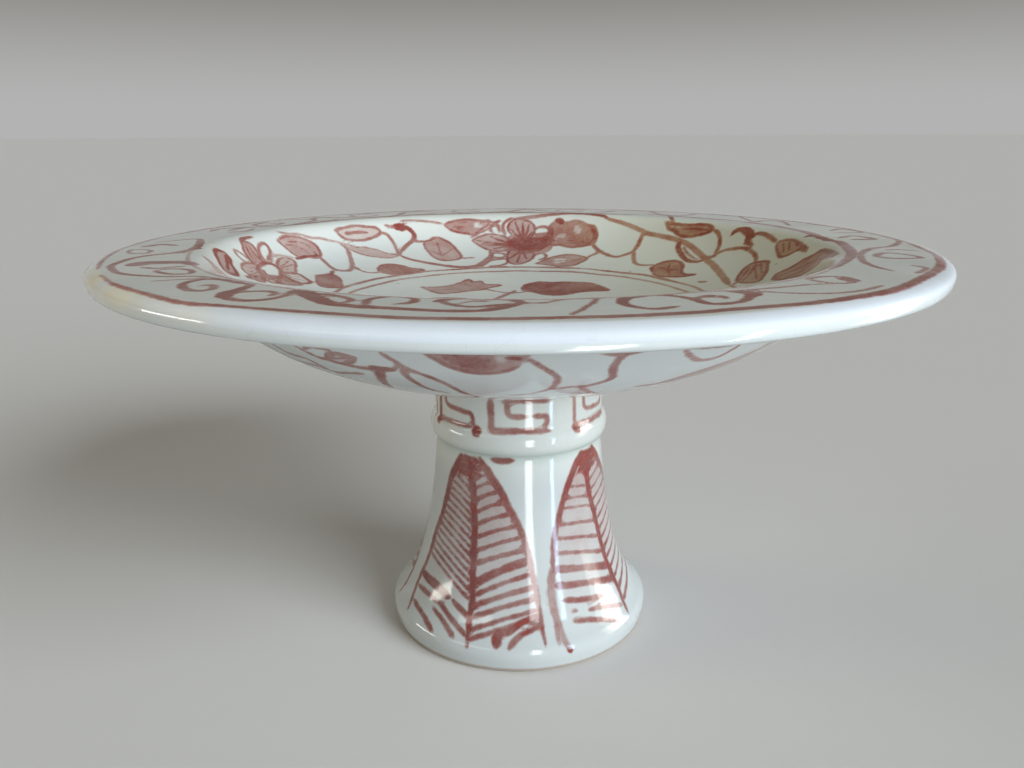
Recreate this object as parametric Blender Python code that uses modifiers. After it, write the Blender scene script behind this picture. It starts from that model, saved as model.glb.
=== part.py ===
"""Stem dish: a shallow glazed dish with a flat everted rim, on a hollow flaring stem.

The dish, the stem and its foot are one body of clay, so the part is one turned solid.
Units are metres, +Z is up, and the origin is the centre of the ring that the foot stands on.
"""
import math

import bpy

# Rim: a flat ledge round the mouth of the well, with a lip that is bevelled over above and
# upright in front
MOUTH_RADIUS = 0.0686
LEDGE_WIDTH = 0.0208
LIP_THICKNESS = 0.00385
LIP_BEVEL = 0.0034
LIP_BROW = 0.0017
LIP_UNDER_ROUNDING = 0.0007
LEDGE_ROOT_THICKNESS = 0.0058
MOUTH_ROUNDING = 0.0026

# Well: the hollow of the dish, down to the painted ring and the dished floor
RING_RADIUS = 0.0440
RING_DEPTH = 0.0128
FLOOR_DIP = 0.0042
FLOOR_THICKNESS = 0.0095

# Underside of the dish, from the root of the ledge down to the stem
BOWL_HEIGHT = 0.0298
HAUNCH_INSET = 0.0039
HAUNCH_DROP = 0.0063
JOINT_FILLET = 0.0026

# Stem, with one rounded ridge under its top
STEM_HEIGHT = 0.0624
STEM_RADIUS = 0.0199
STEM_WALL = 0.0050
RIDGE_DROP = 0.0095
RIDGE_HEIGHT = 0.0056
RIDGE_PROJECTION = 0.0011
GROOVE_DEPTH = 0.0002

# Foot: a flare that rounds over to an upright edge
FOOT_RADIUS = 0.0313
FLARE_OVERHANG = 0.0008
FLARE_HEIGHT = 0.0065
FOOT_EDGE_ROUNDING = 0.0014

TURN_STEPS = 60

GLAZE_COLOUR = (0.74, 0.77, 0.74, 1.0)
GLAZE_ROUGHNESS = 0.12

# Slopes of the outline where one curve hands over to the next, as rise over run
LEDGE_ROOT_SLOPE = 0.15
HAUNCH_SLOPE = 0.94
UNDERSIDE_SLOPE = 0.22
RING_SLOPE = 0.20
MOUTH_SLOPE = 1.25
STEM_SLOPE = 13.5
FLARE_SLOPE = 0.96

# How far each curve holds its first and last slope, as shares of its chord
FLOOR_PULL = (0.33, 0.33)
WALL_PULL = (0.42, 0.30)
MOUTH_PULL = (0.35, 0.45)
LIP_PULL = (0.20, 0.30)
LEDGE_ROOT_PULL = (0.38, 0.30)
UNDERSIDE_PULL = (0.39, 0.28)
FILLET_PULL = (0.45, 0.45)
STEM_PULL = (0.31, 0.26)
FOOT_PULL = (0.53, 0.20)


def toward(run, rise):
    """Unit direction in the profile's plane."""
    length = math.hypot(run, rise)
    return (run / length, rise / length)


def curve(start, start_dir, end, end_dir, pull, count):
    """Points of a cubic curve after its start, with handles that are shares of the chord."""
    chord = math.dist(start, end)
    first = (start[0] + start_dir[0] * chord * pull[0], start[1] + start_dir[1] * chord * pull[0])
    second = (end[0] - end_dir[0] * chord * pull[1], end[1] - end_dir[1] * chord * pull[1])
    points = []
    for step in range(1, count + 1):
        t = step / count
        weights = ((1 - t) ** 3, 3 * t * (1 - t) ** 2, 3 * t * t * (1 - t), t ** 3)
        corners = (start, first, second, end)
        points.append(tuple(sum(w * c[axis] for w, c in zip(weights, corners)) for axis in (0, 1)))
    return points


def arc(centre, radii, start_deg, end_deg, count):
    """Points of an elliptical arc, both ends included."""
    points = []
    for step in range(count + 1):
        angle = math.radians(start_deg + (end_deg - start_deg) * step / count)
        points.append((centre[0] + radii[0] * math.cos(angle), centre[1] + radii[1] * math.sin(angle)))
    return points


def well_profile(rim_top):
    """Inside of the dish, from the middle of its floor out to the ledge."""
    ring_height = rim_top - RING_DEPTH
    points = [(0.0, ring_height - FLOOR_DIP)]
    ring = (RING_RADIUS, ring_height)
    points += curve(points[0], (1.0, 0.0), ring, toward(1.0, RING_SLOPE), FLOOR_PULL, count=4)
    wall_top = (MOUTH_RADIUS - MOUTH_ROUNDING, rim_top - MOUTH_ROUNDING)
    points += curve(ring, toward(1.0, RING_SLOPE), wall_top, toward(1.0, MOUTH_SLOPE), WALL_PULL, count=7)
    ledge = (MOUTH_RADIUS + MOUTH_ROUNDING, rim_top)
    points += curve(wall_top, toward(1.0, MOUTH_SLOPE), ledge, (1.0, 0.0), MOUTH_PULL, count=4)
    return points


def lip_profile(rim_top):
    """Lip, from the end of the flat ledge over its bevelled brow to the underside."""
    rim_radius = MOUTH_RADIUS + LEDGE_WIDTH
    start = (rim_radius - LIP_BEVEL, rim_top)
    brow = (rim_radius, rim_top - LIP_BROW)
    under = (rim_radius - LIP_UNDER_ROUNDING, brow[1])
    points = [start] + curve(start, (1.0, 0.0), brow, (0.0, -1.0), LIP_PULL, count=5)
    return points + arc(under, (LIP_UNDER_ROUNDING, LIP_THICKNESS - LIP_BROW), 0.0, -90.0, count=4)[1:]


def underside_profile(rim_top):
    """Underside of the ledge and of the dish, in to the fillet over the stem."""
    root = (MOUTH_RADIUS + 2 * MOUTH_ROUNDING, rim_top - LEDGE_ROOT_THICKNESS)
    haunch = (MOUTH_RADIUS - HAUNCH_INSET, root[1] - HAUNCH_DROP)
    joint = (STEM_RADIUS + JOINT_FILLET, STEM_HEIGHT + JOINT_FILLET * UNDERSIDE_SLOPE)
    down_haunch = toward(-1.0, -HAUNCH_SLOPE)
    down_joint = toward(-1.0, -UNDERSIDE_SLOPE)
    points = [root]
    points += curve(root, toward(-1.0, -LEDGE_ROOT_SLOPE), haunch, down_haunch, LEDGE_ROOT_PULL, count=3)
    points += curve(haunch, down_haunch, joint, down_joint, UNDERSIDE_PULL, count=7)
    stem_top = (STEM_RADIUS, STEM_HEIGHT - JOINT_FILLET)
    points += curve(joint, down_joint, stem_top, (0.0, -1.0), FILLET_PULL, count=3)
    return points


def ridge_profile():
    """Rounded ridge round the stem, with a shallow groove under it."""
    top = STEM_HEIGHT - RIDGE_DROP
    middle = (STEM_RADIUS, top - RIDGE_HEIGHT / 2)
    points = arc(middle, (RIDGE_PROJECTION, RIDGE_HEIGHT / 2), 90.0, -80.0, count=7)
    points.append((STEM_RADIUS - GROOVE_DEPTH, top - RIDGE_HEIGHT))
    return points


def stem_sweep(start, wall, count):
    """The stem from a start point down through the flare, set in from the outside by a wall."""
    flare = (FOOT_RADIUS - FLARE_OVERHANG - wall, FLARE_HEIGHT)
    foot = (FOOT_RADIUS - wall, FOOT_EDGE_ROUNDING)
    down_stem = toward(1.0, -STEM_SLOPE)
    down_flare = toward(1.0, -FLARE_SLOPE)
    points = curve(start, down_stem, flare, down_flare, STEM_PULL, count)
    points += curve(flare, down_flare, foot, (0.0, -1.0), FOOT_PULL, count - 2)
    return points


def foot_ring_profile():
    """Edge of the foot and the flat ring that it stands on."""
    points = arc((FOOT_RADIUS - FOOT_EDGE_ROUNDING, FOOT_EDGE_ROUNDING),
                 (FOOT_EDGE_ROUNDING, FOOT_EDGE_ROUNDING), -30.0, -90.0, count=2)
    points.append((FOOT_RADIUS - STEM_WALL + FOOT_EDGE_ROUNDING / 2, 0.0))
    return points


def hollow_profile(rim_top):
    """Inside of the hollow stem, up from the foot to the domed ceiling under the floor."""
    bore = STEM_RADIUS - STEM_WALL
    top = (bore, STEM_HEIGHT - RIDGE_DROP - RIDGE_HEIGHT)
    points = list(reversed(stem_sweep(top, STEM_WALL, count=6)))
    points.append(top)
    ceiling = rim_top - RING_DEPTH - FLOOR_DIP - FLOOR_THICKNESS
    spring = STEM_HEIGHT - JOINT_FILLET
    points += arc((0.0, spring), (bore, ceiling - spring), 0.0, 90.0, count=5)
    return points[:-1] + [(0.0, ceiling)]


def dish_profile():
    """The whole outline, from the middle of the floor, over the lip and down to the hollow."""
    rim_top = STEM_HEIGHT + BOWL_HEIGHT
    points = well_profile(rim_top)
    points += lip_profile(rim_top)
    points += underside_profile(rim_top)
    points += ridge_profile()
    groove = points[-1]
    points += stem_sweep(groove, 0.0, count=8)
    points += foot_ring_profile()
    points += hollow_profile(rim_top)
    return points


def turned_object(name, profile, collection):
    """Spin a profile in the XZ plane round Z with a Screw modifier."""
    mesh = bpy.data.meshes.new(name)
    edges = [(index, index + 1) for index in range(len(profile) - 1)]
    mesh.from_pydata([(radius, 0.0, height) for radius, height in profile], edges, [])
    turned = bpy.data.objects.new(name, mesh)
    collection.objects.link(turned)
    screw = turned.modifiers.new("Turn", "SCREW")
    screw.axis = "Z"
    screw.angle = 2 * math.pi
    screw.steps = TURN_STEPS
    screw.render_steps = TURN_STEPS
    screw.use_merge_vertices = True
    screw.merge_threshold = 0.00001
    screw.use_smooth_shade = True
    return turned


def glaze_material():
    """Pale bluish green glaze over white clay."""
    material = bpy.data.materials.new("glaze")
    material.use_nodes = True
    shader = material.node_tree.nodes["Principled BSDF"]
    shader.inputs["Base Color"].default_value = GLAZE_COLOUR
    shader.inputs["Roughness"].default_value = GLAZE_ROUGHNESS
    shader.inputs["Metallic"].default_value = 0.0
    return material


for old in list(bpy.data.objects):
    bpy.data.objects.remove(old, do_unlink=True)

dish_collection = bpy.data.collections.new("stem_dish")
bpy.context.scene.collection.children.link(dish_collection)
stem_dish = turned_object("stem_dish", dish_profile(), dish_collection)
stem_dish.data.materials.append(glaze_material())
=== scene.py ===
"""Stem dish: pale glazed clay painted in copper red under the glaze.

The dish is shown on a pale floor, seen from the photograph's angle. Units are metres.
"""
import math

import bpy
import numpy as np
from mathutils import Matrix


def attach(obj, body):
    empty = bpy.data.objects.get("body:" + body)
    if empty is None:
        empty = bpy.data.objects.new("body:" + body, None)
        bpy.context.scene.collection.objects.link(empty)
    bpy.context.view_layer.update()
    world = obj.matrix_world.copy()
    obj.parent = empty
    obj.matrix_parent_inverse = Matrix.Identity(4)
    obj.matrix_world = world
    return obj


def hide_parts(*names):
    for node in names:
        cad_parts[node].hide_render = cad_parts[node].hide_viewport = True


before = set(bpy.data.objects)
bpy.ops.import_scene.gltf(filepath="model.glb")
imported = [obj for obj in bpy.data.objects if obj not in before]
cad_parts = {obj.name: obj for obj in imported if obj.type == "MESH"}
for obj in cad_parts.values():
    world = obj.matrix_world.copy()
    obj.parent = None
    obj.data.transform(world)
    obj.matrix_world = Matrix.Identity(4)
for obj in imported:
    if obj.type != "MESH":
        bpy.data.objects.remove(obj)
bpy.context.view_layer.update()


# The camera: a short lens close to the dish, a little above its rim and tilted down.
camera_data = bpy.data.cameras.new("camera")
camera_data.lens = 29.88
camera_data.sensor_width = 36.0
camera_data.clip_start = 0.01
camera = bpy.data.objects.new("camera", camera_data)
camera.location = (0.0, -0.19475, 0.11589)
camera.rotation_mode = "ZYX"
camera.rotation_euler = (math.radians(73.502), math.radians(0.439), math.radians(-0.15))
bpy.context.scene.collection.objects.link(camera)
bpy.context.scene.camera = camera


# The thrown body: dish, stem and foot are one white clay, turned on the wheel and luted
# together while damp. The dish is heavy, with a flat ledge for a rim, and the stem is hollow.
# Its outline is drawn in bands, and each band is spun round the axis with its own fineness.
MM = 0.001
RIM_TOP = 92.2
MOUTH_RADIUS = 68.6
LEDGE_WIDTH = 20.8
LIP_THICKNESS = 3.85
LIP_BEVEL = 3.4
LIP_BROW = 1.7
LIP_UNDER_ROUNDING = 0.7
LEDGE_ROOT_THICKNESS = 5.8
MOUTH_ROUNDING = 2.6
RING_RADIUS = 44.0
RING_HEIGHT = 79.4
FLOOR_MIDDLE_HEIGHT = 75.2
CEILING_HEIGHT = 65.7
HAUNCH = (64.7, 80.1)
STEM_TOP = 62.4
STEM_RADIUS = 19.9
STEM_WALL = 5.0
JOINT_FILLET = 2.6
RIDGE_TOP = 52.9
RIDGE_HEIGHT = 5.6
RIDGE_PROJECTION = 1.1
GROOVE_DEPTH = 0.2
FLARE = (30.5, 6.5)
FOOT_RADIUS = 31.3
FOOT_EDGE_ROUNDING = 1.4

# The fineness of the curves, where the bands meet, and how near two points count as one
CURVE_STEPS = 60
BROW_STEPS = 12
ROUNDING_STEPS = 12
FLOOR_SPLIT = 17
UNDER_SPLIT_RADIUS = 46.0
WELD = 0.002 * MM
RING_TOLERANCE = 0.05


def toward(run, rise):
    """Unit direction in the outline's plane."""
    length = math.hypot(run, rise)
    return (run / length, rise / length)


def curve(start, start_dir, end, end_dir, pull, count=CURVE_STEPS):
    """Points of a cubic curve after its start, with handles that are shares of the chord."""
    chord = math.dist(start, end)
    first = (start[0] + start_dir[0] * chord * pull[0], start[1] + start_dir[1] * chord * pull[0])
    second = (end[0] - end_dir[0] * chord * pull[1], end[1] - end_dir[1] * chord * pull[1])
    points = []
    for step in range(1, count + 1):
        t = step / count
        weights = ((1 - t) ** 3, 3 * t * (1 - t) ** 2, 3 * t * t * (1 - t), t ** 3)
        corners = (start, first, second, end)
        points.append(tuple(sum(w * c[axis] for w, c in zip(weights, corners)) for axis in (0, 1)))
    return points


def arc(centre, radii, start_deg, end_deg, count=24):
    """Points of an elliptical arc, both ends included."""
    angles = [math.radians(start_deg + (end_deg - start_deg) * step / count) for step in range(count + 1)]
    return [(centre[0] + radii[0] * math.cos(a), centre[1] + radii[1] * math.sin(a)) for a in angles]


def evenly(points, step):
    """The same line with its points about one step apart, both ends kept."""
    line = np.array(points)
    along = np.concatenate([[0.0], np.cumsum(np.hypot(*np.diff(line, axis=0).T))])
    count = max(1, round(along[-1] / step))
    places = np.linspace(0.0, along[-1], count + 1)
    return [(float(np.interp(p, along, line[:, 0])), float(np.interp(p, along, line[:, 1]))) for p in places]


painted_ring = (RING_RADIUS, RING_HEIGHT)
floor_middle = (0.0, FLOOR_MIDDLE_HEIGHT)
wall_top = (MOUTH_RADIUS - MOUTH_ROUNDING, RIM_TOP - MOUTH_ROUNDING)
ledge_start = (MOUTH_RADIUS + MOUTH_ROUNDING, RIM_TOP)
lip_start = (MOUTH_RADIUS + LEDGE_WIDTH - LIP_BEVEL, RIM_TOP)
lip_brow = (MOUTH_RADIUS + LEDGE_WIDTH, RIM_TOP - LIP_BROW)
lip_under = (lip_brow[0] - LIP_UNDER_ROUNDING, lip_brow[1])
ledge_root = (MOUTH_RADIUS + 2 * MOUTH_ROUNDING, RIM_TOP - LEDGE_ROOT_THICKNESS)
joint = (STEM_RADIUS + JOINT_FILLET, STEM_TOP + JOINT_FILLET * 0.22)
stem_start = (STEM_RADIUS, STEM_TOP - JOINT_FILLET)
ridge_middle = (STEM_RADIUS, RIDGE_TOP - RIDGE_HEIGHT / 2)
groove = (STEM_RADIUS - GROOVE_DEPTH, RIDGE_TOP - RIDGE_HEIGHT)
foot_edge = (FOOT_RADIUS, FOOT_EDGE_ROUNDING)

floor_line = [floor_middle]
floor_line += curve(floor_middle, (1.0, 0.0), painted_ring, toward(1.0, 0.20), (0.33, 0.33))
wall_line = [painted_ring]
wall_line += curve(painted_ring, toward(1.0, 0.20), wall_top, toward(1.0, 1.25), (0.42, 0.30))
wall_line += curve(wall_top, toward(1.0, 1.25), ledge_start, (1.0, 0.0), (0.35, 0.45))
wall_line += [lip_start]
lip_line = [lip_start] + curve(lip_start, (1.0, 0.0), lip_brow, (0.0, -1.0), (0.20, 0.30), BROW_STEPS)
lip_rounding = (LIP_UNDER_ROUNDING, LIP_THICKNESS - LIP_BROW)
lip_line += arc(lip_under, lip_rounding, 0.0, -90.0, ROUNDING_STEPS)[1:]
under_line = [lip_line[-1], ledge_root]
under_line += curve(ledge_root, toward(-1.0, -0.15), HAUNCH, toward(-1.0, -0.94), (0.38, 0.30))
under_line += curve(HAUNCH, toward(-1.0, -0.94), joint, toward(-1.0, -0.22), (0.39, 0.28))
stem_line = [joint] + curve(joint, toward(-1.0, -0.22), stem_start, (0.0, -1.0), (0.45, 0.45))
stem_line += arc(ridge_middle, (RIDGE_PROJECTION, RIDGE_HEIGHT / 2), 90.0, -80.0) + [groove]
stem_line += curve(groove, toward(1.0, -13.5), FLARE, toward(1.0, -0.96), (0.31, 0.26))
stem_line += curve(FLARE, toward(1.0, -0.96), foot_edge, (0.0, -1.0), (0.53, 0.20))
stem_line += arc((FOOT_RADIUS - FOOT_EDGE_ROUNDING, FOOT_EDGE_ROUNDING),
                 (FOOT_EDGE_ROUNDING, FOOT_EDGE_ROUNDING), -5.0, -90.0)
stand_edge = (FOOT_RADIUS - STEM_WALL + FOOT_EDGE_ROUNDING / 2, 0.0)
inner_foot = (FOOT_RADIUS - STEM_WALL, FOOT_EDGE_ROUNDING)
inner_flare = (FLARE[0] - STEM_WALL, FLARE[1])
inner_groove = (STEM_RADIUS - STEM_WALL, groove[1])
hollow_line = [stand_edge, inner_foot]
hollow_line += curve(inner_foot, (0.0, 1.0), inner_flare, toward(-1.0, 0.96), (0.20, 0.53))
hollow_line += curve(inner_flare, toward(-1.0, 0.96), inner_groove, toward(-1.0, 13.5), (0.26, 0.31))
hollow_line += arc((0.0, stem_start[1]), (inner_groove[0], CEILING_HEIGHT - stem_start[1]), 0.0, 90.0)

floor_points = evenly(floor_line, 0.95)
rim_points = evenly(wall_line, 0.85) + evenly(lip_line, 0.6)[1:]
under_points = evenly(under_line, 1.05)
under_split = next(i for i, point in enumerate(under_points) if point[0] < UNDER_SPLIT_RADIUS)

# Each band: its name, its points, and how many steps go round the axis
bands = [
    ("floor_middle", floor_points[:FLOOR_SPLIT], 135),
    ("floor", floor_points[FLOOR_SPLIT:-1], 270),
    ("wall_and_rim", rim_points + under_points[1:under_split], 540),
    ("underside", under_points[under_split:], 270),
    ("stem", evenly(stem_line, 0.8)[1:], 200),
    ("hollow", evenly(hollow_line, 3.0), 72),
]


def throw(name, points, turns):
    """One band: a point is drawn along the outline by extruding, then spun round the axis."""
    start = points[0]
    bpy.ops.object.select_all(action="DESELECT")
    bpy.ops.mesh.primitive_plane_add(size=MM, location=(start[0] * MM, 0.0, start[1] * MM))
    band = bpy.context.object
    band.name = name
    bpy.ops.object.transform_apply(location=True, rotation=False, scale=False)
    bpy.ops.object.mode_set(mode="EDIT")
    bpy.ops.mesh.select_mode(type="VERT")
    bpy.ops.mesh.select_all(action="SELECT")
    bpy.ops.mesh.merge(type="COLLAPSE")
    for here, there in zip(points, points[1:]):
        move = ((there[0] - here[0]) * MM, 0.0, (there[1] - here[1]) * MM)
        bpy.ops.mesh.extrude_vertices_move(TRANSFORM_OT_translate={"value": move})
    bpy.ops.mesh.select_all(action="SELECT")
    bpy.ops.mesh.spin(steps=turns, angle=2 * math.pi, center=(0, 0, 0), axis=(0, 0, 1),
                      use_auto_merge=True)
    bpy.ops.mesh.select_all(action="SELECT")
    bpy.ops.mesh.remove_doubles(threshold=WELD)
    bpy.ops.object.mode_set(mode="OBJECT")
    return band


def bridge(piece, upper, lower):
    """Joins the open edges of two bands, each given by the radius and height of its ring."""
    mesh = piece.data
    places = np.empty(len(mesh.vertices) * 3)
    mesh.vertices.foreach_get("co", places)
    places = places.reshape(-1, 3) / MM
    radius = np.hypot(places[:, 0], places[:, 1])
    chosen = np.zeros(len(places), dtype=bool)
    for place in (upper, lower):
        chosen |= np.hypot(radius - place[0], places[:, 2] - place[1]) < RING_TOLERANCE
    bpy.ops.object.mode_set(mode="EDIT")
    bpy.ops.mesh.select_all(action="DESELECT")
    bpy.ops.object.mode_set(mode="OBJECT")
    ends = np.empty(len(mesh.edges) * 2, dtype=np.int32)
    mesh.edges.foreach_get("vertices", ends)
    ends = ends.reshape(-1, 2)
    mesh.vertices.foreach_set("select", chosen)
    mesh.edges.foreach_set("select", chosen[ends[:, 0]] & chosen[ends[:, 1]])
    bpy.ops.object.mode_set(mode="EDIT")
    bpy.ops.mesh.select_mode(type="EDGE")
    bpy.ops.mesh.bridge_edge_loops()
    bpy.ops.object.mode_set(mode="OBJECT")


thrown = [throw(name, points, turns) for name, points, turns in bands]
bpy.ops.object.select_all(action="DESELECT")
for band in thrown:
    band.select_set(True)
dish = thrown[0]
bpy.context.view_layer.objects.active = dish
bpy.ops.object.join()
dish.name = "glazed_stem_dish"
dish.data.name = "glazed_stem_dish"
for above, below in zip(bands, bands[1:]):
    bridge(dish, above[1][-1], below[1][0])
bpy.ops.object.mode_set(mode="EDIT")
bpy.ops.mesh.select_all(action="SELECT")
bpy.ops.mesh.remove_doubles(threshold=WELD)
bpy.ops.mesh.normals_make_consistent(inside=False)
bpy.ops.object.mode_set(mode="OBJECT")
bpy.ops.object.shade_smooth()
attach(dish, "root")
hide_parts("stem_dish")


# The painting on the rim: a scroll brushed freely in copper red on the raw clay, with one
# line just inside the lip and one round the well. The brush is loaded dark where a stroke
# starts, and the glaze softens its edges.

# In mm, how far beside a stroke its trace is kept and the step along it, and the number
# of steps that are taken at once
REACH = 3.0
BRUSH_STEP = 0.7
STRETCH = 12
# In mm, what an unpainted point holds as its cover and depth, and the least divisor
UNPAINTED = -9.0
LEAST = 1e-9
# A stroke begins at this share of its width, and widens by so many shares along its length
TIP_WIDTH = 0.55
TIP_GAIN = 6.0
# How round a leaf's edges are, and half its width at the tip in mm
LEAF_ROUNDNESS = 0.8
LEAF_TIP = 0.15
# A wheel-drawn line changes at each of these steps in degrees, within these shares
RING_STEP = 8
RING_WIDTHS = (0.7, 1.2)
RING_LOADS = (0.75, 1.2)
FULL_LOAD = 1.2

body = dish.data
spots = np.empty(len(body.vertices) * 3)
body.vertices.foreach_get("co", spots)
spots = spots.reshape(-1, 3) / MM
facings = np.empty(len(body.vertices) * 3)
body.vertex_normals.foreach_get("vector", facings)
facings = facings.reshape(-1, 3)
spot_radius = np.hypot(spots[:, 0], spots[:, 1])
top_outline = np.array(floor_line + wall_line + lip_line[:BROW_STEPS + 1])
under_outline = np.array(lip_line[BROW_STEPS:] + under_line + stem_line[1:CURVE_STEPS + 1])[::-1]
stem_outline = np.array(stem_line)[::-1]
stem_guess = np.interp(spots[:, 2], stem_outline[:, 1], stem_outline[:, 0])

# The painted areas, told apart by these heights and radii in mm and by which way the glaze
# faces, each with the numbers of its points
TOP_FROM = 74.0
UNDER_FROM = 62.0
UNDER_RADIUS = 19.8
STEM_BELOW = 63.0
STEM_DEPTH = 2.0
spot_height = spots[:, 2]
AREAS = {
    "top": np.flatnonzero((spot_height > TOP_FROM) & (facings[:, 2] > 0.0)),
    "under": np.flatnonzero((spot_height > UNDER_FROM) & (facings[:, 2] < 0.0)
                            & (spot_radius > UNDER_RADIUS)),
    "stem": np.flatnonzero((spot_height < STEM_BELOW) & (spot_radius > stem_guess - STEM_DEPTH)),
}


def settle(area, points):
    """Drops points onto the glazed surface of an area, along the radius or the height."""
    points = np.array(points, dtype=float)
    angle = np.arctan2(points[:, 1], points[:, 0])
    radius = np.hypot(points[:, 0], points[:, 1])
    if area == "stem":
        radius = np.interp(points[:, 2], stem_outline[:, 1], stem_outline[:, 0])
    else:
        side = top_outline if area == "top" else under_outline
        points[:, 2] = np.interp(radius, side[:, 0], side[:, 1])
    return np.stack([radius * np.cos(angle), radius * np.sin(angle), points[:, 2]], axis=1)


def path(area, places):
    """A smooth line through places on an area.

    A place is an angle in degrees, from the right and anticlockwise, and a radius in mm. On
    the stem it is an angle and a height.
    """
    places = np.array(places, dtype=float)
    angle = np.radians(places[:, 0])
    if area == "stem":
        radius = np.interp(places[:, 1], stem_outline[:, 1], stem_outline[:, 0])
        points = np.stack([radius * np.cos(angle), radius * np.sin(angle), places[:, 1]], axis=1)
    else:
        flat = np.stack([places[:, 1] * np.cos(angle), places[:, 1] * np.sin(angle), places[:, 1]], axis=1)
        points = settle(area, flat)
    ends = np.vstack([2 * points[0] - points[1], points, 2 * points[-1] - points[-2]])
    line = [points[:1]]
    for before, start, end, after in zip(ends, ends[1:], ends[2:], ends[3:]):
        count = max(2, int(np.linalg.norm(end - start) / BRUSH_STEP))
        t = np.arange(1, count + 1)[:, None] / count
        line.append(0.5 * (2 * start + (end - before) * t
                           + (2 * before - 5 * start + 4 * end - after) * t ** 2
                           + (3 * start - before - 3 * end + after) * t ** 3))
    return settle(area, np.vstack(line))


def new_coat():
    """What a coat of paint leaves at each point: side, half width, cover, and the brush's load."""
    coat = {key: np.zeros(len(spots)) for key in ("side", "half", "load", "along", "slant", "vein", "fill")}
    coat["cover"] = np.full(len(spots), UNPAINTED)
    return coat


line_coats = (new_coat(), new_coat(), new_coat())
leaves_coat = new_coat()


def lay(coat, area, line, halves, values):
    """Lays one stroke: each point near the line keeps the stroke that covers it most."""
    own = AREAS[area]
    lengths = np.concatenate([[0.0], np.cumsum(np.linalg.norm(np.diff(line, axis=0), axis=1))])
    reach = REACH + halves.max()
    for first in range(0, len(line) - 1, STRETCH):
        start, end = line[first:first + STRETCH], line[first + 1:first + STRETCH + 1]
        start = start[:len(end)]
        low = np.minimum(start, end).min(axis=0) - reach
        high = np.maximum(start, end).max(axis=0) + reach
        near = own[np.all((spots[own] > low) & (spots[own] < high), axis=1)]
        if len(near) == 0:
            continue
        run = end - start
        length = np.maximum(np.linalg.norm(run, axis=1), LEAST)
        away = spots[near][:, None] - start
        share = np.clip((away * run).sum(axis=2) / length ** 2, 0.0, 1.0)
        off = away - share[:, :, None] * run
        distance = np.linalg.norm(off, axis=2)
        here = slice(first, first + len(start))
        there = slice(first + 1, first + 1 + len(start))
        half = halves[here] + share * (halves[there] - halves[here])
        best = np.argmax(half - distance, axis=1)
        row = np.arange(len(near))
        cover = (half - distance)[row, best]
        wins = cover > coat["cover"][near]
        near, row, best = near[wins], row[wins], best[wins]
        across = np.cross(facings[near], (run / length[:, None])[best])
        sign = np.where((across * off[row, best]).sum(axis=1) < 0.0, -1.0, 1.0)
        coat["cover"][near] = cover[wins]
        coat["side"][near] = sign * distance[row, best]
        coat["half"][near] = half[row, best]
        coat["along"][near] = (lengths[here] + share * length)[row, best]
        for key, value in values.items():
            value = np.broadcast_to(value, len(line))
            coat[key][near] = (value[here] + share * (value[there] - value[here]))[row, best]


def stroke(area, places, width, load, coat=0):
    """A brush stroke. Width and load are one number, or numbers spread evenly along it."""
    line = path(area, places)
    share = np.linspace(0.0, 1.0, len(line))
    widths = np.atleast_1d(width)
    loads = np.atleast_1d(load)
    halves = np.interp(share, np.linspace(0, 1, len(widths)), widths) / 2
    taper = np.minimum(1.0, TIP_WIDTH + np.minimum(share, 1 - share) * TIP_GAIN)
    loads = np.interp(share, np.linspace(0, 1, len(loads)), loads)
    lay(line_coats[coat], area, line, halves * taper, {"load": loads})


def leaf(area, base, tip, breadth, fill, comb, load=(1.0, 0.75), blunt=0.75):
    """A leaf or petal: a midrib from base to tip, with combed veins and a thin wash.

    The comb is how many veins are passed in a mm along the midrib, and away from it.
    """
    line = path(area, [base, tip])
    share = np.linspace(0.0, 1.0, len(line))
    halves = np.sin(math.pi * share ** blunt) ** LEAF_ROUNDNESS * breadth / 2 + LEAF_TIP
    loads = np.interp(share, np.linspace(0, 1, len(load)), load)
    lay(leaves_coat, area, line, halves, {"load": loads, "vein": comb[0], "slant": comb[1], "fill": fill})


def ring(area, radius, width, load, wander, seed, start=0, end=360):
    """A line drawn round on the wheel, by a hand that wanders a little."""
    hand = np.random.default_rng(seed)
    angles = np.linspace(start, end, max(4, round((end - start) / RING_STEP)))
    radii = radius + hand.uniform(-wander, wander, len(angles))
    widths = width * hand.uniform(*RING_WIDTHS, len(angles))
    loads = np.clip(load * hand.uniform(*RING_LOADS, len(angles)), 0, FULL_LOAD)
    if end - start == 360:
        radii[-1], widths[-1], loads[-1] = radii[0], widths[0], loads[0]
    stroke(area, list(zip(angles, radii)), widths, loads, coat=2)


# The front of the rim, from the left round to the right
stroke("top", [(188, 70), (193.5, 73), (197.5, 80), (204, 84), (208.5, 84.5), (213, 83.5), (216.5, 80.5),
               (219, 77.5), (221, 74), (225, 72)], (2.2, 1.4, 1.3, 0.9), (1.0, 0.8, 0.6))
stroke("top", [(206, 80.5), (204.5, 78.5), (205, 76), (205.5, 73), (207, 71), (209.5, 70.5)],
       (4.8, 3.8, 2.4), 1.2)
stroke("top", [(208.5, 79.5), (210.5, 77.5), (210.5, 75.5), (210.5, 72.5)], 1.3, 0.9, coat=1)
stroke("top", [(212.5, 78), (212, 76), (213, 73.5), (216, 72.5), (218, 74), (217, 76.5), (215, 77.5),
               (212.5, 78)], 1.1, 0.85)
stroke("top", [(191.5, 83.5), (189, 83.5), (189, 81), (191, 79), (193.5, 79.5), (193.5, 82), (191.5, 83.5)],
       0.9, 0.8)
stroke("top", [(186, 82.5), (183, 80), (184.5, 76)], (1.6, 2.0, 1.4), 0.85)
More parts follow.
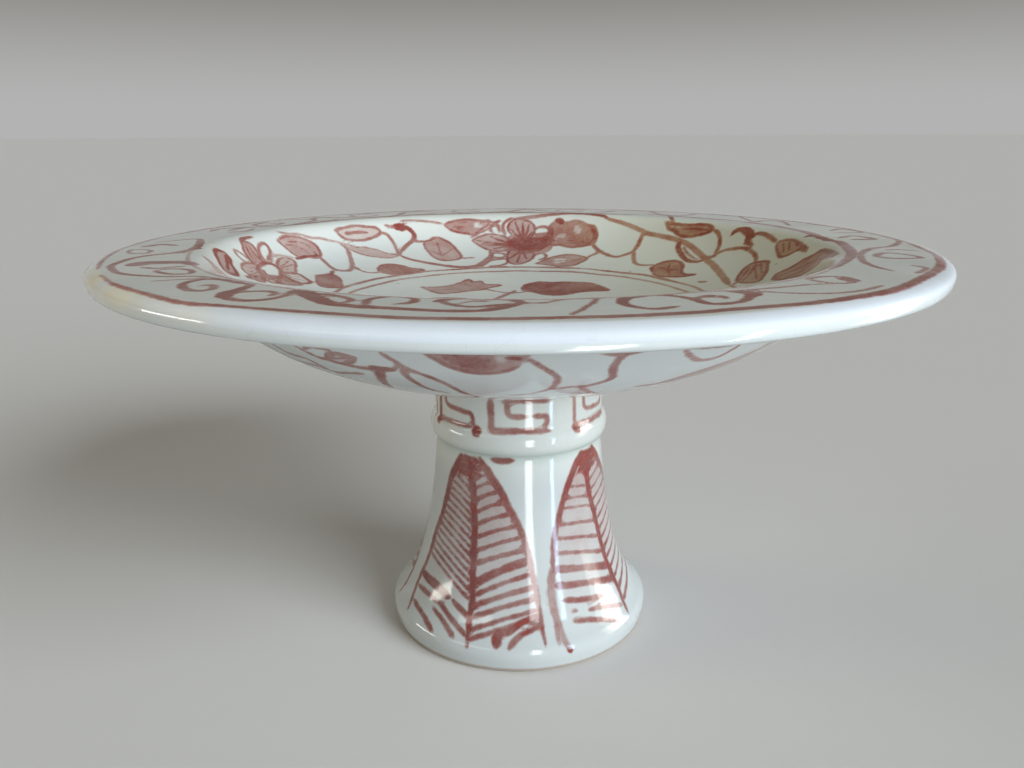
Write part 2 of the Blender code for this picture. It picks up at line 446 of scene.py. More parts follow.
stroke("top", [(180, 82.5), (178.5, 80), (177, 78.5), (175.5, 75.5), (179, 73), (185, 71), (189.5, 71),
               (195, 72)], (1.0, 1.2, 1.9, 1.6, 1.0), (0.7, 0.9, 1.0, 0.8))
stroke("top", [(162, 77.5), (158, 78)], 1.6, 1.1)
stroke("top", [(146.5, 86), (143.5, 84.5), (140.5, 82), (139, 77)], 1.1, 0.9)
stroke("top", [(221, 81.5), (222, 77.5), (224, 73.5), (229.5, 71.5)], 0.9, 0.5)
stroke("top", [(232.5, 72), (229.5, 72), (225.5, 72.5), (224, 74.5), (225, 78), (227, 80), (230, 81),
               (231.5, 80), (231, 77.5), (228.5, 76), (228.5, 78)], (1.4, 1.4, 1.7, 1.2), (0.9, 0.7, 0.7))
stroke("top", [(232.5, 71.5), (233.5, 73.5), (234.5, 76.5), (235, 79), (237, 81.5)], (1.6, 2.2, 2.8),
       (0.7, 1.0))
stroke("top", [(237, 81.5), (239.5, 82), (241, 81), (242, 79), (242, 75.5), (240.5, 71.5)], (2.0, 1.4, 1.6),
       0.8)
stroke("top", [(236, 79.5), (236, 77), (238, 74.5), (240, 75), (240.5, 77)], 1.2, 0.75)
stroke("top", [(240.5, 70.5), (244.5, 74), (248, 77), (250, 78.5), (253.5, 79), (257, 79), (261, 79.5),
               (264.5, 79.5), (267, 78.5), (268.5, 76.5), (270.5, 73.5)], (3.2, 2.6, 2.0, 1.6, 2.2),
       (1.1, 0.8, 0.9))
stroke("top", [(243.5, 72.5), (247, 72.5), (250, 74), (251, 76), (250, 78)], 1.2, 0.7)
stroke("top", [(253.5, 77.5), (252.5, 74), (253.5, 71.5), (255, 70.2), (257.5, 71.5), (258, 74.5),
               (256.5, 76)], (1.6, 1.1, 1.6), 0.75)
stroke("top", [(260.5, 73), (262, 70.8), (265, 70.2), (267.5, 70.4), (269.5, 71.2), (270.5, 73.5)],
       (2.0, 1.2, 2.0), (1.0, 0.7, 1.0))
stroke("top", [(261, 73), (263, 75.5), (265, 76.5), (267, 75.5), (269, 74)], 1.2, 0.8)
stroke("top", [(263.5, 74), (264.5, 72.5), (266.5, 72.2)], 0.9, 0.6)
stroke("top", [(270.5, 73.5), (273, 73.5), (275, 71.4), (279, 70.6), (284, 70.4), (290, 70.4)], 1.0, 0.65)
stroke("top", [(279.5, 70.8), (278.5, 74), (277, 77.5), (276, 80), (275, 82)], 0.9, 0.75)
stroke("top", [(290, 70.6), (287, 70.4), (284.5, 70.8), (282.5, 72.2), (281.5, 76), (282.5, 79), (284, 80.5),
               (286.5, 79.5)], (1.2, 2.2, 1.4, 1.2), (0.7, 1.0, 0.7))
stroke("top", [(287, 70.6), (289, 72.5), (290, 75.5), (290, 79)], (1.2, 1.6, 2.0), (0.6, 0.9))
stroke("top", [(290, 75.5), (291.5, 74.5), (294, 76)], 0.9, 0.7)
stroke("top", [(289.5, 78), (291, 80), (293.5, 80), (295.5, 78.5), (297.5, 76)], 1.5, 0.8)
stroke("top", [(291, 74.5), (293, 74), (294, 75.5), (293.5, 77)], 1.1, 0.7)
stroke("top", [(297, 73), (298.5, 75), (297.5, 77)], 2.4, 1.05)
stroke("top", [(290, 70.4), (294.5, 71), (298, 72.5), (302, 73.5), (306, 74.5), (309, 75.5), (311, 77.5)],
       0.9, 0.6)
stroke("top", [(300, 74.5), (301.5, 77.5), (304, 80.5), (306.5, 82.5), (310, 83.5), (314, 83.5)], 0.9, 0.6)
stroke("top", [(312, 72), (315, 72.5), (317, 75), (316.5, 77)], 1.0, 0.7)
stroke("top", [(311.5, 73), (311.5, 76), (312.5, 78.5), (314.5, 79)], 1.0, 0.7)
stroke("top", [(315.5, 76), (315.2, 78.2)], 3.0, 1.1)
stroke("top", [(6.5, 86), (359, 85.5), (352, 81), (348, 75.5), (340.5, 72.5), (332.5, 73.5), (328, 76.5),
               (325.5, 80)], (0.9, 1.6, 1.2), 0.75)
stroke("top", [(346.5, 78), (347.5, 81), (346.5, 84.5)], 1.0, 0.85)
stroke("top", [(339, 75), (343, 77), (342.5, 80.5), (339.5, 83.5), (337.5, 78.5), (339, 75)],
       (1.8, 1.1, 1.1, 1.8), 1.0)
stroke("top", [(331.5, 82), (330, 84.5), (325, 84)], 1.1, 0.75)
stroke("top", [(13, 79), (15, 84.5), (10, 85), (9.5, 82.5), (10, 77.5)], 1.0, 0.85)
stroke("top", [(2.5, 74), (5, 79), (0.5, 81), (0, 76)], (1.4, 1.8), 0.95)
stroke("top", [(41, 85), (32.5, 76), (32.5, 80.5), (29.5, 82.5), (23, 77)], 1.1, 0.85)
stroke("top", [(61, 84), (55.5, 76), (51, 76.5), (50, 84)], 1.1, 0.85)

# The back of the rim, which carries on in the same hand, more plainly
for number, turn in enumerate(range(72, 145, 24)):
    swing = 3 if number % 2 else -3
    stroke("top", [(turn - 4, 78 - swing), (turn, 73), (turn + 6, 72), (turn + 11, 76), (turn + 16, 82),
                   (turn + 20, 78 + swing)], (2.0, 1.2, 1.8), (1.0, 0.7, 0.9))
    stroke("top", [(turn + 3, 83), (turn + 8, 81), (turn + 9, 77), (turn + 6, 75.5), (turn + 3, 77.5),
                   (turn + 5, 79.5)], (1.6, 1.1, 1.3), 0.75)
    stroke("top", [(turn + 14, 74), (turn + 18, 72.5), (turn + 21, 75)], (1.0, 1.6, 1.0), 0.8)

stroke("top", [(58.5, 75), (47.5, 73), (36, 73.5), (25, 73), (13.5, 72), (4, 71)], (1.8, 2.2, 2.2), 0.95,
       coat=2)
ring("top", 70.7, 0.8, 0.55, start=190, end=323, wander=0.1, seed=10)
ring("top", 71.0, 1.3, 0.6, start=60, end=150, wander=0.3, seed=4)
ring("top", 85.6, 2.4, 1.0, start=24, end=160, wander=0.3, seed=5)
stroke("top", [(158, 85.6), (172, 86.1), (186, 86.3), (198, 86.4), (207, 86.8)], (2.0, 1.1, 0.9), 0.85,
       coat=2)
stroke("top", [(-4, 86.2), (8, 86.1), (18, 85.9), (26, 85.7)], (1.4, 2.2), 0.9, coat=2)
stroke("top", [(212, 86.9), (221, 86.9), (234, 87), (240, 86), (249, 84.6), (254, 84.5), (259, 84.8),
               (265, 84.5), (270, 84.2), (276, 83.8), (281, 84), (287, 84.1), (291, 84), (300, 85.3),
               (308, 86), (315, 86.2), (327, 86.1), (334, 86.6), (340, 86.7), (345, 86.6), (357, 86.1)],
       (0.8, 1.3, 1.9, 1.9, 2.0, 1.8, 1.4), (0.6, 0.8, 0.8), coat=2)


# The painting in the well: a vine with flowers, buds and hatched leaves runs round the wall,
# above a double line, and a spray fills the floor. The wall shows the darkest red.

# How far outside a flower's eye its ring is drawn, in mm, and how many mm of radius there
# are to a mm along the sloping wall
EYE_MARGIN = 0.7
WALL_SHARE = 0.65
# A vein on the wall thins to this share of its width
VEIN_END = 0.7


def flower(centre, tips, breadth, eye=1.2):
    """An open flower: hatched petals round a pale eye in a dark ring."""
    for count, tip in enumerate(tips):
        wide = breadth[count % len(breadth)]
        leaf("top", centre, tip, wide, fill=0.35, comb=(0.06, 0.85), load=(1.2, 0.8), blunt=1.25)
    steep = WALL_SHARE if centre[1] > RING_RADIUS else 1.0
    away = eye + EYE_MARGIN
    around = []
    for step in range(9):
        turn = math.radians(step * 45)
        swing = math.degrees(away * math.cos(turn) / centre[1])
        around.append((centre[0] + swing, centre[1] + away * math.sin(turn) * steep))
    stroke("top", around, 1.7, 1.1)


wash_coat = {"depth": np.full(len(spots), UNPAINTED), "load": np.zeros(len(spots))}


def wash(area, outline, load, over=False):
    """A thin wash inside a closed line: each point keeps how deep inside it lies, and the load.

    Laid over, it only changes the load of the wash that is there, as a wiped or darker patch.
    """
    line = path(area, list(outline) + [outline[0]])
    own = AREAS[area]
    low, high = line.min(axis=0) - REACH, line.max(axis=0) + REACH
    near = own[np.all((spots[own] > low) & (spots[own] < high), axis=1)]
    run = np.diff(line, axis=0)
    away = spots[near][:, None] - line[:-1]
    share = np.clip((away * run).sum(axis=2) / np.maximum((run ** 2).sum(axis=1), LEAST), 0.0, 1.0)
    distance = np.linalg.norm(away - share[:, :, None] * run, axis=2).min(axis=1)
    here, there = line[:-1], line[1:]
    x, y = spots[near][:, :1], spots[near][:, 1:2]
    spans = (here[:, 1] > y) != (there[:, 1] > y)
    rise = np.where(here[:, 1] == there[:, 1], LEAST, there[:, 1] - here[:, 1])
    crossed = spans & (x < here[:, 0] + (y - here[:, 1]) / rise * (there[:, 0] - here[:, 0]))
    depth = np.where(crossed.sum(axis=1) % 2 == 1, distance, -distance)
    wins = depth > (0.0 if over else wash_coat["depth"][near])
    if not over:
        wash_coat["depth"][near[wins]] = depth[wins]
    wash_coat["load"][near[wins]] = load


def blade(outline, veins=(), thin=0.4, edge=1.1, vein=0.9, load=0.8):
    """A leaf or petal drawn freely on the wall: a thin wash, its outline, and its veins."""
    wash("top", outline, thin)
    stroke("top", list(outline) + [outline[0]], edge, load)
    for count, places in enumerate(veins):
        stroke("top", places, (vein, vein * VEIN_END), load, coat=1 + count % 2)


def rays(heart, ends):
    """Veins that run from one place to others."""
    return [[heart, end] for end in ends]


# The flower at the left of the far wall: seven petals and curls round a pale eye
blade([(174, 62.5), (174.5, 63.5), (173.5, 65.5), (172, 66.5), (171, 67.5), (169.5, 67), (168.5, 66),
       (169, 64.5), (170.5, 63), (171, 62)], [[(170.5, 67), (173.5, 63.5)], [(170, 66.5), (171, 62.5)]],
      thin=0.5, load=0.85)
blade([(168.5, 60), (165.5, 61.5), (162.5, 62), (160, 61), (161, 59.5), (163.5, 58), (166.5, 56.5),
       (169, 57), (169.5, 58.5)], rays((169.5, 59.5), ((165, 61.5), (161.5, 61), (162, 59.5), (165, 58))),
      thin=0.4, edge=0.9, vein=0.8, load=0.85)
blade([(171, 57.5), (168, 57.5), (166, 56), (167, 53.5), (168.5, 51.5), (172, 52), (172.5, 53.5),
       (172, 55.5)], rays((171.5, 57.5), ((167.5, 54.5), (169, 52.5), (171.5, 53))), thin=0.15, edge=1.2,
      vein=0.7)
blade([(173.5, 57.5), (172.5, 56), (173, 54), (173.5, 52), (176, 53), (178, 54.5), (178.5, 56)],
      rays((174.5, 57.5), ((173.5, 53), (175.5, 53.5), (177.5, 55))), thin=0.5, vein=0.8, load=0.85)
blade([(178, 59.5), (181, 58), (180.5, 56.5), (178, 55.5), (174.5, 57.5)],
      rays((176.5, 58.5), ((180.5, 57.5), (179.5, 56))), thin=0.35, edge=1.0)
blade([(175, 61.5), (175.5, 63), (179, 63.5), (181.5, 63), (183, 62), (183, 60.5), (180.5, 59.5),
       (177, 59.5)], rays((176, 60.5), ((177.5, 63), (180, 63.5), (182, 62), (183, 61))), thin=0.4, edge=0.9,
      vein=0.8, load=0.85)
blade([(179, 59.5), (183, 60.5), (186, 61), (185, 60), (183, 58)], thin=0.5, edge=0.9)
blade([(182, 66.5), (182, 65.5), (184.5, 64.5), (186, 63.5), (188.5, 62.5), (191.5, 63.5), (192, 64.5),
       (188, 66.5), (184.5, 67.5)], [[(182.5, 66), (190, 64)]], thin=0.5, edge=1.3, vein=1.5, load=1.2)
for places, width, load in (
        ([(169.5, 62.5), (168.5, 64.5), (167, 65.5), (165.5, 66), (164, 66), (163.5, 65.5), (164, 64.5),
          (165.5, 63.5), (168.5, 62.5)], 1.0, 0.8),
        ([(171, 67.5), (169, 68), (165.5, 68)], (1.6, 0.8), 0.9),
        ([(169, 61.5), (165.5, 63), (163.5, 63), (161.5, 62.5), (159, 61.5)], 0.9, 0.5),
        ([(176.5, 63.5), (177.5, 64), (177.5, 66), (176, 66), (175, 65), (175, 64)], 0.9, 0.75),
        ([(175, 60.5), (176.5, 59.5), (176.5, 58), (175.5, 57.5)], 1.3, 0.9)):
    stroke("top", places, width, load, coat=1)
stroke("top", [(176, 61.5), (173, 62), (170, 62), (168.5, 61), (168.5, 59.5), (170.5, 58), (173.5, 57),
               (177, 57.5), (178.5, 58.5), (178, 60), (176, 61.5)], 1.5, 0.85, coat=2)

# The vine from it to the right, with three leaves and a broad loop
blade([(159, 66), (155.5, 66.5), (152, 66), (149.5, 65), (148.5, 64), (148.5, 62.5), (150, 60.5),
       (152.5, 60), (154.5, 61), (156.5, 61), (157.5, 62.5), (158, 64.5)],
      [[(156.5, 65.5), (152.5, 65), (150.5, 63.5), (150.5, 61)],
       [(158, 65), (155, 64.5), (153, 63), (152.5, 61)]], thin=0.45)
blade([(164, 52), (161.5, 53), (159, 52.5), (156, 52), (157.5, 49), (161.5, 46.5), (164.5, 45), (167.5, 46),
       (169.5, 48), (167.5, 50)], [[(157, 51.5), (162, 49.5), (167, 48)]], thin=0.7)
blade([(141, 63.5), (138.5, 62.5), (137, 61.5), (134.5, 61), (131.5, 59.5), (129.5, 57.5), (126.5, 56.5),
       (130, 55.5), (133.5, 56.5), (136.5, 58), (138.5, 60)], thin=0.35, edge=0.8, load=0.65)
blade([(140, 66.5), (139, 65), (137.5, 64), (133.5, 63.5), (130, 64), (127.5, 65), (128, 66), (130.5, 66.5),
       (134, 67)], [[(137.5, 65.5), (134, 65.5), (131, 65.3)]], thin=0.25, vein=1.6)
blade([(116.5, 61.5), (115, 61.5), (113, 62.5), (111.5, 62), (109.5, 60), (108.5, 57), (108, 53),
       (109.5, 51.5), (112.5, 51), (115, 51.5), (116.5, 53.5), (117, 57), (117, 60)],
      rays((114, 54), ((113, 61), (109.5, 57.5), (116, 57.5))), thin=0.5, vein=1.2)
blade([(140.5, 48), (137.5, 51), (134.5, 52), (131.5, 51.5), (129.5, 50), (128, 48), (124.5, 46),
       (128.5, 45), (132, 45), (137, 45.5)], [[(139, 48), (133, 48.5), (127, 46.5)]], thin=0.7)
for places, width, load in (
        ([(156.5, 68), (154, 67), (151, 66.5), (148, 65.5), (145, 65), (140.5, 63.5)], 0.9, 0.6),
        ([(141, 63.5), (140, 61.5), (141.5, 58.5), (144.5, 54.5), (148.5, 52), (152, 53.5), (152, 55),
          (151.5, 57), (150.5, 60.5)], 1.3, 0.7),
        ([(158.5, 61), (154.5, 61), (150.5, 60.5)], 1.2, 1.1),
        ([(157.5, 51.5), (153.5, 53.5)], 1.1, 0.9),
        ([(165, 45), (161.5, 44.5), (156, 44.5)], 0.8, 0.6),
        ([(144.5, 53.5), (145, 51), (144, 49), (140.5, 48)], 0.9, 0.7),
        ([(127.5, 65), (126, 64.5), (125.5, 63), (125.5, 61), (126, 58.5), (126.5, 56.5)], 1.1, 0.75),
        ([(125.5, 66.5), (123.5, 66), (122.5, 66)], 1.2, 0.7),
        ([(123, 66), (121.5, 66), (121, 65.5)], 2.6, 1.25),
        ([(120.5, 66), (119.5, 65.5), (118.5, 64), (119.5, 62), (122, 60.5), (125, 58), (126.5, 56.5)],
         (1.6, 1.1), (1.0, 0.75)),
        ([(119.5, 62), (118, 61.5), (116.5, 61.5)], 1.0, 0.75),
        ([(120.5, 67.5), (118, 67.5), (114.5, 67), (111.5, 66.5), (109.5, 66)], 0.9, 0.65),
        ([(109, 52), (104, 52)], 0.9, 0.6),
        ([(126.5, 56.5), (125, 54), (122, 51.5), (119, 49.5), (114.5, 47), (110, 45.5), (105, 46),
          (101.5, 49), (99, 52.5)], (1.2, 2.0, 1.4), (0.7, 0.75))):
    stroke("top", places, width, load, coat=1)

# A bud, and the open flower in the middle of the far wall, whose heart is a dark wash
blade([(109.5, 66), (107.5, 66.5), (103.5, 67), (99.5, 66.5), (97.5, 66.5), (98, 65.5), (100, 64.5),
       (102, 63), (104, 63.5), (106.5, 64), (108.5, 65)],
      [[(108, 65.5), (103.5, 65.2)], [(106, 66.3), (103, 66.3)], [(106.5, 64.7), (103, 64.3)]], thin=0.5)
wash("top", [(102, 65.6), (100.8, 66.1), (99.8, 65.6), (100.6, 64.8), (101.6, 64.8)], 0.1, over=True)
wash("top", [(98, 60), (94, 61.5), (91, 63), (87, 63), (83, 63.5), (80, 64), (79.5, 60), (81, 55),
             (86, 53.5), (92, 54), (96, 57)], 0.6)
wash("top", [(94, 60), (90.5, 62), (87, 62), (83.5, 62), (81, 62.5), (80.5, 59.5), (82, 57), (85.5, 54.5),
             (89.5, 55), (93, 57)], 0.95, over=True)
blade([(91.5, 62.5), (92.5, 64), (92.5, 65.5), (90.5, 67), (88, 66.5), (86.5, 66), (85.5, 64.5), (86, 63),
       (87, 61.5)], rays((88.5, 60.5), ((92, 64.5), (90.8, 66.3), (88.8, 66.2), (87, 65.7), (86, 63.8))),
      thin=0.45, edge=0.9, vein=1.3, load=0.95)
blade([(103, 61), (101, 62), (98, 63), (95, 62.5), (93, 61.5), (91.5, 59), (93.5, 56), (96.5, 55.5),
       (99, 56.5), (101, 58.5)], rays((91.5, 58.8), ((102, 61), (98, 62.5), (101, 59), (97.5, 56.8))),
      thin=0.45, edge=0.9, vein=1.3, load=0.9)
blade([(92.5, 56), (93.5, 52.5), (93, 48), (90.5, 46.5), (87.5, 48), (85.5, 51), (85.5, 54.5)],
      rays((89, 56), ((93, 50.5), (90.5, 47.5), (87, 50))), thin=0.55, edge=0.9, vein=1.4, load=0.95)
for places, width, load in (
        ([(100, 66), (98, 66.5), (96.5, 66), (95, 66.5)], 1.1, 0.85),
        ([(103, 62), (101.5, 63), (99.5, 64), (97, 65)], 0.9, 0.75),
        ([(97, 63.5), (97.5, 65), (95.5, 65.5), (95, 63.5)], 1.0, 0.8),
        ([(93.5, 62.5), (94, 65.5), (92, 67), (91, 67)], 1.0, 0.8),
        ([(85.5, 63.5), (85.5, 64.5), (84, 65), (82.5, 65), (81.5, 64), (82, 63), (84, 62.5),
          (85.5, 63)], 0.9, 0.8),
        ([(90, 59), (88.5, 57.5), (86.5, 58), (84.5, 59)], 1.8, 1.25),
        ([(99, 53), (97.5, 54.5), (94.5, 54), (94, 52.5), (95.5, 51.5), (98.5, 52)], 1.0, 0.8),
        ([(100.5, 48.5), (98, 50), (94, 50.5), (93.5, 48), (96, 46), (100, 45.5)], 1.0, 0.8),
        ([(85, 50.5), (85.5, 52.5), (83.5, 54), (82, 54), (81, 51.5), (83, 50)], 1.0, 0.8),
        ([(107.5, 45.5), (104, 45.5), (100.5, 48.5), (98.5, 52), (98.5, 56)], 1.3, 0.8)):
    stroke("top", places, width, load, coat=2)

# Two leaves right of it, and the broad stroke under the mouth
blade([(81.5, 62.5), (81.5, 64.5), (80.5, 66), (78.5, 66), (76.5, 66), (74.5, 66.5), (71.5, 65.5),
       (69.5, 65), (68.5, 61.5), (68.5, 60), (70.5, 59), (74.5, 58), (78, 59), (81, 59)],
      rays((70, 60), ((79, 65), (72, 65.5), (80.5, 62), (78, 59.8))), thin=0.7, edge=1.4, vein=1.1)
wash("top", [(75, 64), (75, 65.3), (73.5, 65.3), (73, 64), (73.8, 63.2)], 0.3, over=True)
wash("top", [(79.5, 61.5), (79, 63), (77.5, 63.5), (77, 62), (78.5, 60.8)], 0.35, over=True)
blade([(84, 47), (81, 50), (78.5, 52), (75.5, 53.5), (72, 53.5), (68, 52), (69, 49), (71, 46.5),
       (75.5, 45.5), (80, 46.5)], rays((69, 51.5), ((81.5, 48.5), (76, 52.5), (77, 46.8))), thin=0.55)
wash("top", [(78.5, 49.5), (77, 51), (74.5, 51), (73.5, 49.5), (75, 48), (77.5, 48)], 0.15, over=True)
stroke("top", [(70.5, 59.3), (68.8, 61), (68.9, 63.5), (70.5, 65)], (1.2, 2.0, 1.4), 0.95, coat=2)
stroke("top", [(81, 65), (80.8, 62.5), (79.8, 60)], (1.8, 1.2), 0.9, coat=2)
for places, width, load in (
        ([(68.5, 59.5), (65.5, 56.5), (61.5, 54.5)], 1.3, 0.85),
        ([(80, 66.5), (79, 66.5), (78.5, 66)], 2.2, 1.25),
        ([(68, 52), (67, 54), (65.5, 55.5)], 1.0, 0.75)):
    stroke("top", places, width, load, coat=1)
stroke("top", [(91.5, 67), (88.5, 67.3), (86, 67.7), (83, 68.5), (79.5, 69.5), (76.5, 70.2), (73, 70),
               (69, 69), (66.5, 67.5)], (1.2, 2.0, 2.2, 1.4), (0.6, 0.7, 0.75), coat=2)

# The vine on the right of the far wall, darker, with its leaves and curls. The glaze colours its red browner
# there as painted warm shade.
blade([(40.5, 47), (43.5, 50), (43, 53), (41.5, 54.5), (38.5, 55), (35.5, 53.5), (32.5, 50.5), (29.5, 49),
       (26, 50), (28.5, 47.5), (33, 46), (36.5, 45.5)],
      rays((37.5, 50), ((42.5, 50.5), (40.5, 54), (33, 51), (33, 47))), thin=0.75, edge=1.3, vein=1.3,
      load=1.05)
blade([(51, 67.5), (48.5, 67), (44, 67), (41.5, 67.5), (39, 67.5), (37, 66.5), (39, 65.5), (42.5, 64.5),
       (45, 64.5), (47.5, 65.5), (49.5, 66)], [[(45.5, 66), (42, 66.3), (38, 66.3)]], thin=0.75, edge=1.3,
      vein=1.4, load=1.05)
wash("top", [(50, 67.2), (48, 67), (46.5, 66.3), (48.5, 66.1)], 0.3, over=True)
blade([(14.5, 66), (13, 66.5), (9.5, 67), (4, 66.5), (0.5, 66), (4.5, 65.8), (7, 64), (8.5, 63.5),
       (10.5, 64), (13, 65)], [[(12.5, 66.3), (8.5, 64.2)], [(10.5, 66.6), (7.5, 65)], [(8, 66.8), (5, 66)]],
      thin=0.65, vein=1.2, load=1.05)
blade([(15.5, 59.5), (14.5, 60.5), (11, 61.5), (9, 60.5), (6, 59), (3, 57), (1, 55.5), (3, 54), (5.5, 53),
       (8.5, 53), (12, 55), (14.5, 57.5)],
      [[(13.5, 60), (9, 56), (6.5, 53.5)], [(11.5, 58.8), (2, 55.5)], [(12, 60.5), (6, 58)]], thin=0.65,
      vein=1.2, load=1.1)
blade([(358, 58), (360.5, 59.5), (360, 61), (359, 62.5), (358, 64.5), (356, 65.5), (354, 67), (349.5, 67.5),
       (343, 68), (349, 66), (348, 65), (349.5, 62.5), (352.5, 60.5), (355, 59)],
      [[(358.5, 58.5), (357, 61), (355, 63.5), (352.5, 65), (346, 67.5)], [(355, 60), (351, 63.5)]],
      thin=0.75, edge=1.4, vein=1.2, load=1.15)
for places, width, load in (
        ([(69, 69), (66.5, 67.5), (62.5, 66.5), (58.5, 65.5), (55, 64.5), (51.5, 64), (47, 63.5), (44, 63),
          (40.5, 62), (36, 60), (31.5, 58), (24.5, 55.5), (14, 52), (7, 50.5)],
         (1.2, 1.7, 1.9, 1.8), (0.7, 0.8)),
        ([(65.5, 57), (63, 55), (59, 54), (57, 55.5), (55.5, 57.5), (55.5, 61), (56, 64.5)], 1.3, 0.8),
        ([(55, 57), (53, 53.5), (50.5, 51), (47.5, 50.5), (44.5, 51.5)], 1.2, 0.8),
        ([(37.5, 66.5), (35, 66), (32.5, 64), (31, 61.5), (30, 59.5), (31.5, 58)], (1.0, 1.4), 0.9),
        ([(18.5, 47.5), (16.5, 48)], 1.8, 0.9)):
    stroke("top", places, width, load, coat=1)
stroke("top", [(42, 61.3), (39.5, 59.5), (36.5, 58), (33.5, 57.2)], 0.8, 0.8)
for places, width, load in (
        ([(52.5, 72.5), (49.5, 68), (47.5, 66), (45.5, 65)], 1.1, 0.8),
        ([(44, 63), (44, 62), (42.5, 60), (39, 57.5), (35.5, 56), (32.5, 56.5), (31.5, 57.5)], 1.6, 1.0),
        ([(31.5, 58), (30, 60.5), (29, 62), (25, 63.5)], 1.2, 0.9),
        ([(27.5, 62.5), (26, 63), (23.5, 63.5), (20, 63), (17, 62), (14.5, 60.5)], 1.2, 0.9),
        ([(30.5, 66), (30, 67), (28.5, 67.5), (26.5, 67), (25, 66.5), (24.5, 65)], (1.4, 2.6, 2.2), 1.15),
        ([(24.5, 65), (22, 64.5), (22, 64)], 1.2, 0.95),
        ([(24.5, 66), (23, 67), (20.5, 67), (17.5, 66.5), (15, 66)], 1.3, 0.95),
        ([(14.5, 59), (10, 55), (6.5, 52), (5.5, 50.5)], 1.2, 0.9),
        ([(7.5, 69), (5.5, 70.5), (-0.5, 70.5), (-3.5, 71.5), (-11.5, 71), (-18.5, 71),
          (-24.5, 70.5), (-30.5, 70), (-37, 70)], 2.2, (0.9, 0.85))):
    stroke("top", places, width, load, coat=2)

# The near side of the wall, which the rim hides: a waving stem, leaves and two flowers
stroke("top", [(8, 50.5), (355, 52), (344, 60), (332, 64), (320, 60), (310, 52), (298, 50), (288, 56),
               (278, 64), (266, 63), (256, 54), (244, 50), (232, 55), (222, 63), (210, 64), (200, 57),
               (192, 53)], 1.3, 0.8)
for turn, reach_in, reach_out in ((328, 50, 64), (304, 66, 52), (284, 50, 60), (262, 51, 62), (240, 66, 52),
                                  (216, 50, 62), (204, 68, 58)):
    leaf("top", (turn, reach_out), (turn - 9, reach_in), 6.8, fill=0.4, comb=(0.35, 0.6))
flower((306, 59), [(306, 67.5), (297, 63), (299, 54), (309, 51), (315, 56), (315, 64)], (5.5, 5.0))
flower((234, 61), [(234, 68.5), (226, 64), (228, 55), (237, 53), (243, 58), (242, 66)], (5.5, 5.0))

# The double line round the floor, and the spray that fills it
ring("top", 44.3, 1.3, 0.75, wander=0.25, seed=11)
ring("top", 41.2, 1.0, 0.65, wander=0.25, seed=12)
blade([(88, 26), (86, 29.5), (80, 32), (74, 32), (68, 33), (61.5, 33.5), (53.5, 33.5), (41, 30.5),
       (46, 28.5), (52, 26), (56.5, 23), (63, 21), (71, 21), (79, 22.5), (86.5, 24)], thin=1.0, edge=0.9,
      load=1.0)
blade([(138, 34), (130.5, 32), (123.5, 32), (117, 33.5), (112, 35.5), (111.5, 33), (107.5, 33.5),
       (107, 30.5), (99, 29.5), (105.5, 27.5), (112.5, 26), (119.5, 26), (129, 26), (137, 27), (138, 30)],
      [[(135, 30), (125, 29), (115, 28.5)], [(116.5, 32.5), (114.5, 30)]], thin=0.5, edge=1.0, load=0.85)
stroke("top", [(109.5, 27), (105.5, 24.5), (96, 22), (86, 22.5)], 0.9, 0.7)
stroke("top", [(92, 24), (120, 14), (200, 8), (262, 14), (270, 22)], (1.4, 1.2), 0.8)
flower((268, 22), [(268, 33), (250, 30), (238, 20), (262, 12), (292, 16), (288, 29)], (8.0, 7.0), eye=1.6)
for base, tip, wide in (((200, 9), (176, 27), 8.0), ((220, 10), (212, 31), 7.0), ((330, 10), (338, 30), 8.0),
                        ((120, 14), (150, 26), 6.0), ((60, 10), (12, 26), 8.0)):
    leaf("top", base, tip, wide, load=(1.0, 0.9), fill=0.6, comb=(0.35, 0.6))
stroke("top", [(200, 8), (10, 4), (350, 12), (330, 10)], 1.2, 0.75)


# The painting under the bowl: a looser scroll of curling stems round a few pendant leaves,
# and one fine line above the stem.
for places, width, load in (
        ([(218.5, 62), (220.5, 60), (224.5, 58.5), (230.5, 59), (233, 58)], 1.2, 0.75),
        ([(226.5, 64), (228, 62), (232.5, 61.5), (234.5, 57.5), (239, 58.5), (243, 59.5)], 1.2, 0.75),
        ([(234, 65.5), (236.5, 63.5), (240.5, 62.5), (244.5, 62), (247, 62)], (1.0, 1.4), 0.8),
        ([(236, 65.5), (238, 66.2), (241, 66), (241.5, 65), (239.5, 64)], 1.3, 0.7),
        ([(246.5, 62.5), (248.5, 62.4), (250.5, 62.6)], 2.0, 1.3),
        ([(247.5, 61.5), (246, 58.5), (244.5, 55), (243.5, 51)], (2.2, 1.6, 1.0), (1.0, 0.8)),
        ([(250.5, 62.6), (252.5, 64.3), (251.5, 65.5), (250.5, 67)], (0.9, 1.3, 1.0), 0.8),
        ([(270.5, 67), (272.5, 65.5), (274.5, 63.5), (276, 61.5), (276, 59.5), (275.5, 57), (273, 54.5),
          (268.5, 52.5)], (1.1, 1.2, 0.9), 0.75),
        ([(281, 67.5), (283, 67), (285.5, 67), (288, 67.5), (293, 67.2), (297.5, 66.5), (304.5, 66)],
         (1.3, 1.0, 0.9), 0.75),
        ([(284.5, 67), (284, 65.5), (284, 63.5), (285, 60.5), (284, 59), (281.5, 57.5), (279, 57.5),
          (276, 56.5)], (1.5, 1.4, 1.0), 0.8),
        ([(281, 56.5), (284.5, 52), (288, 49)], 1.3, 0.7),
        ([(292.5, 54), (298, 53.5), (300.5, 54.5), (304.5, 55.5), (307.5, 59), (311.5, 59.5), (315, 61.5),
          (316, 63.5)], 1.6, 0.75)):
    stroke("under", places, width, load)
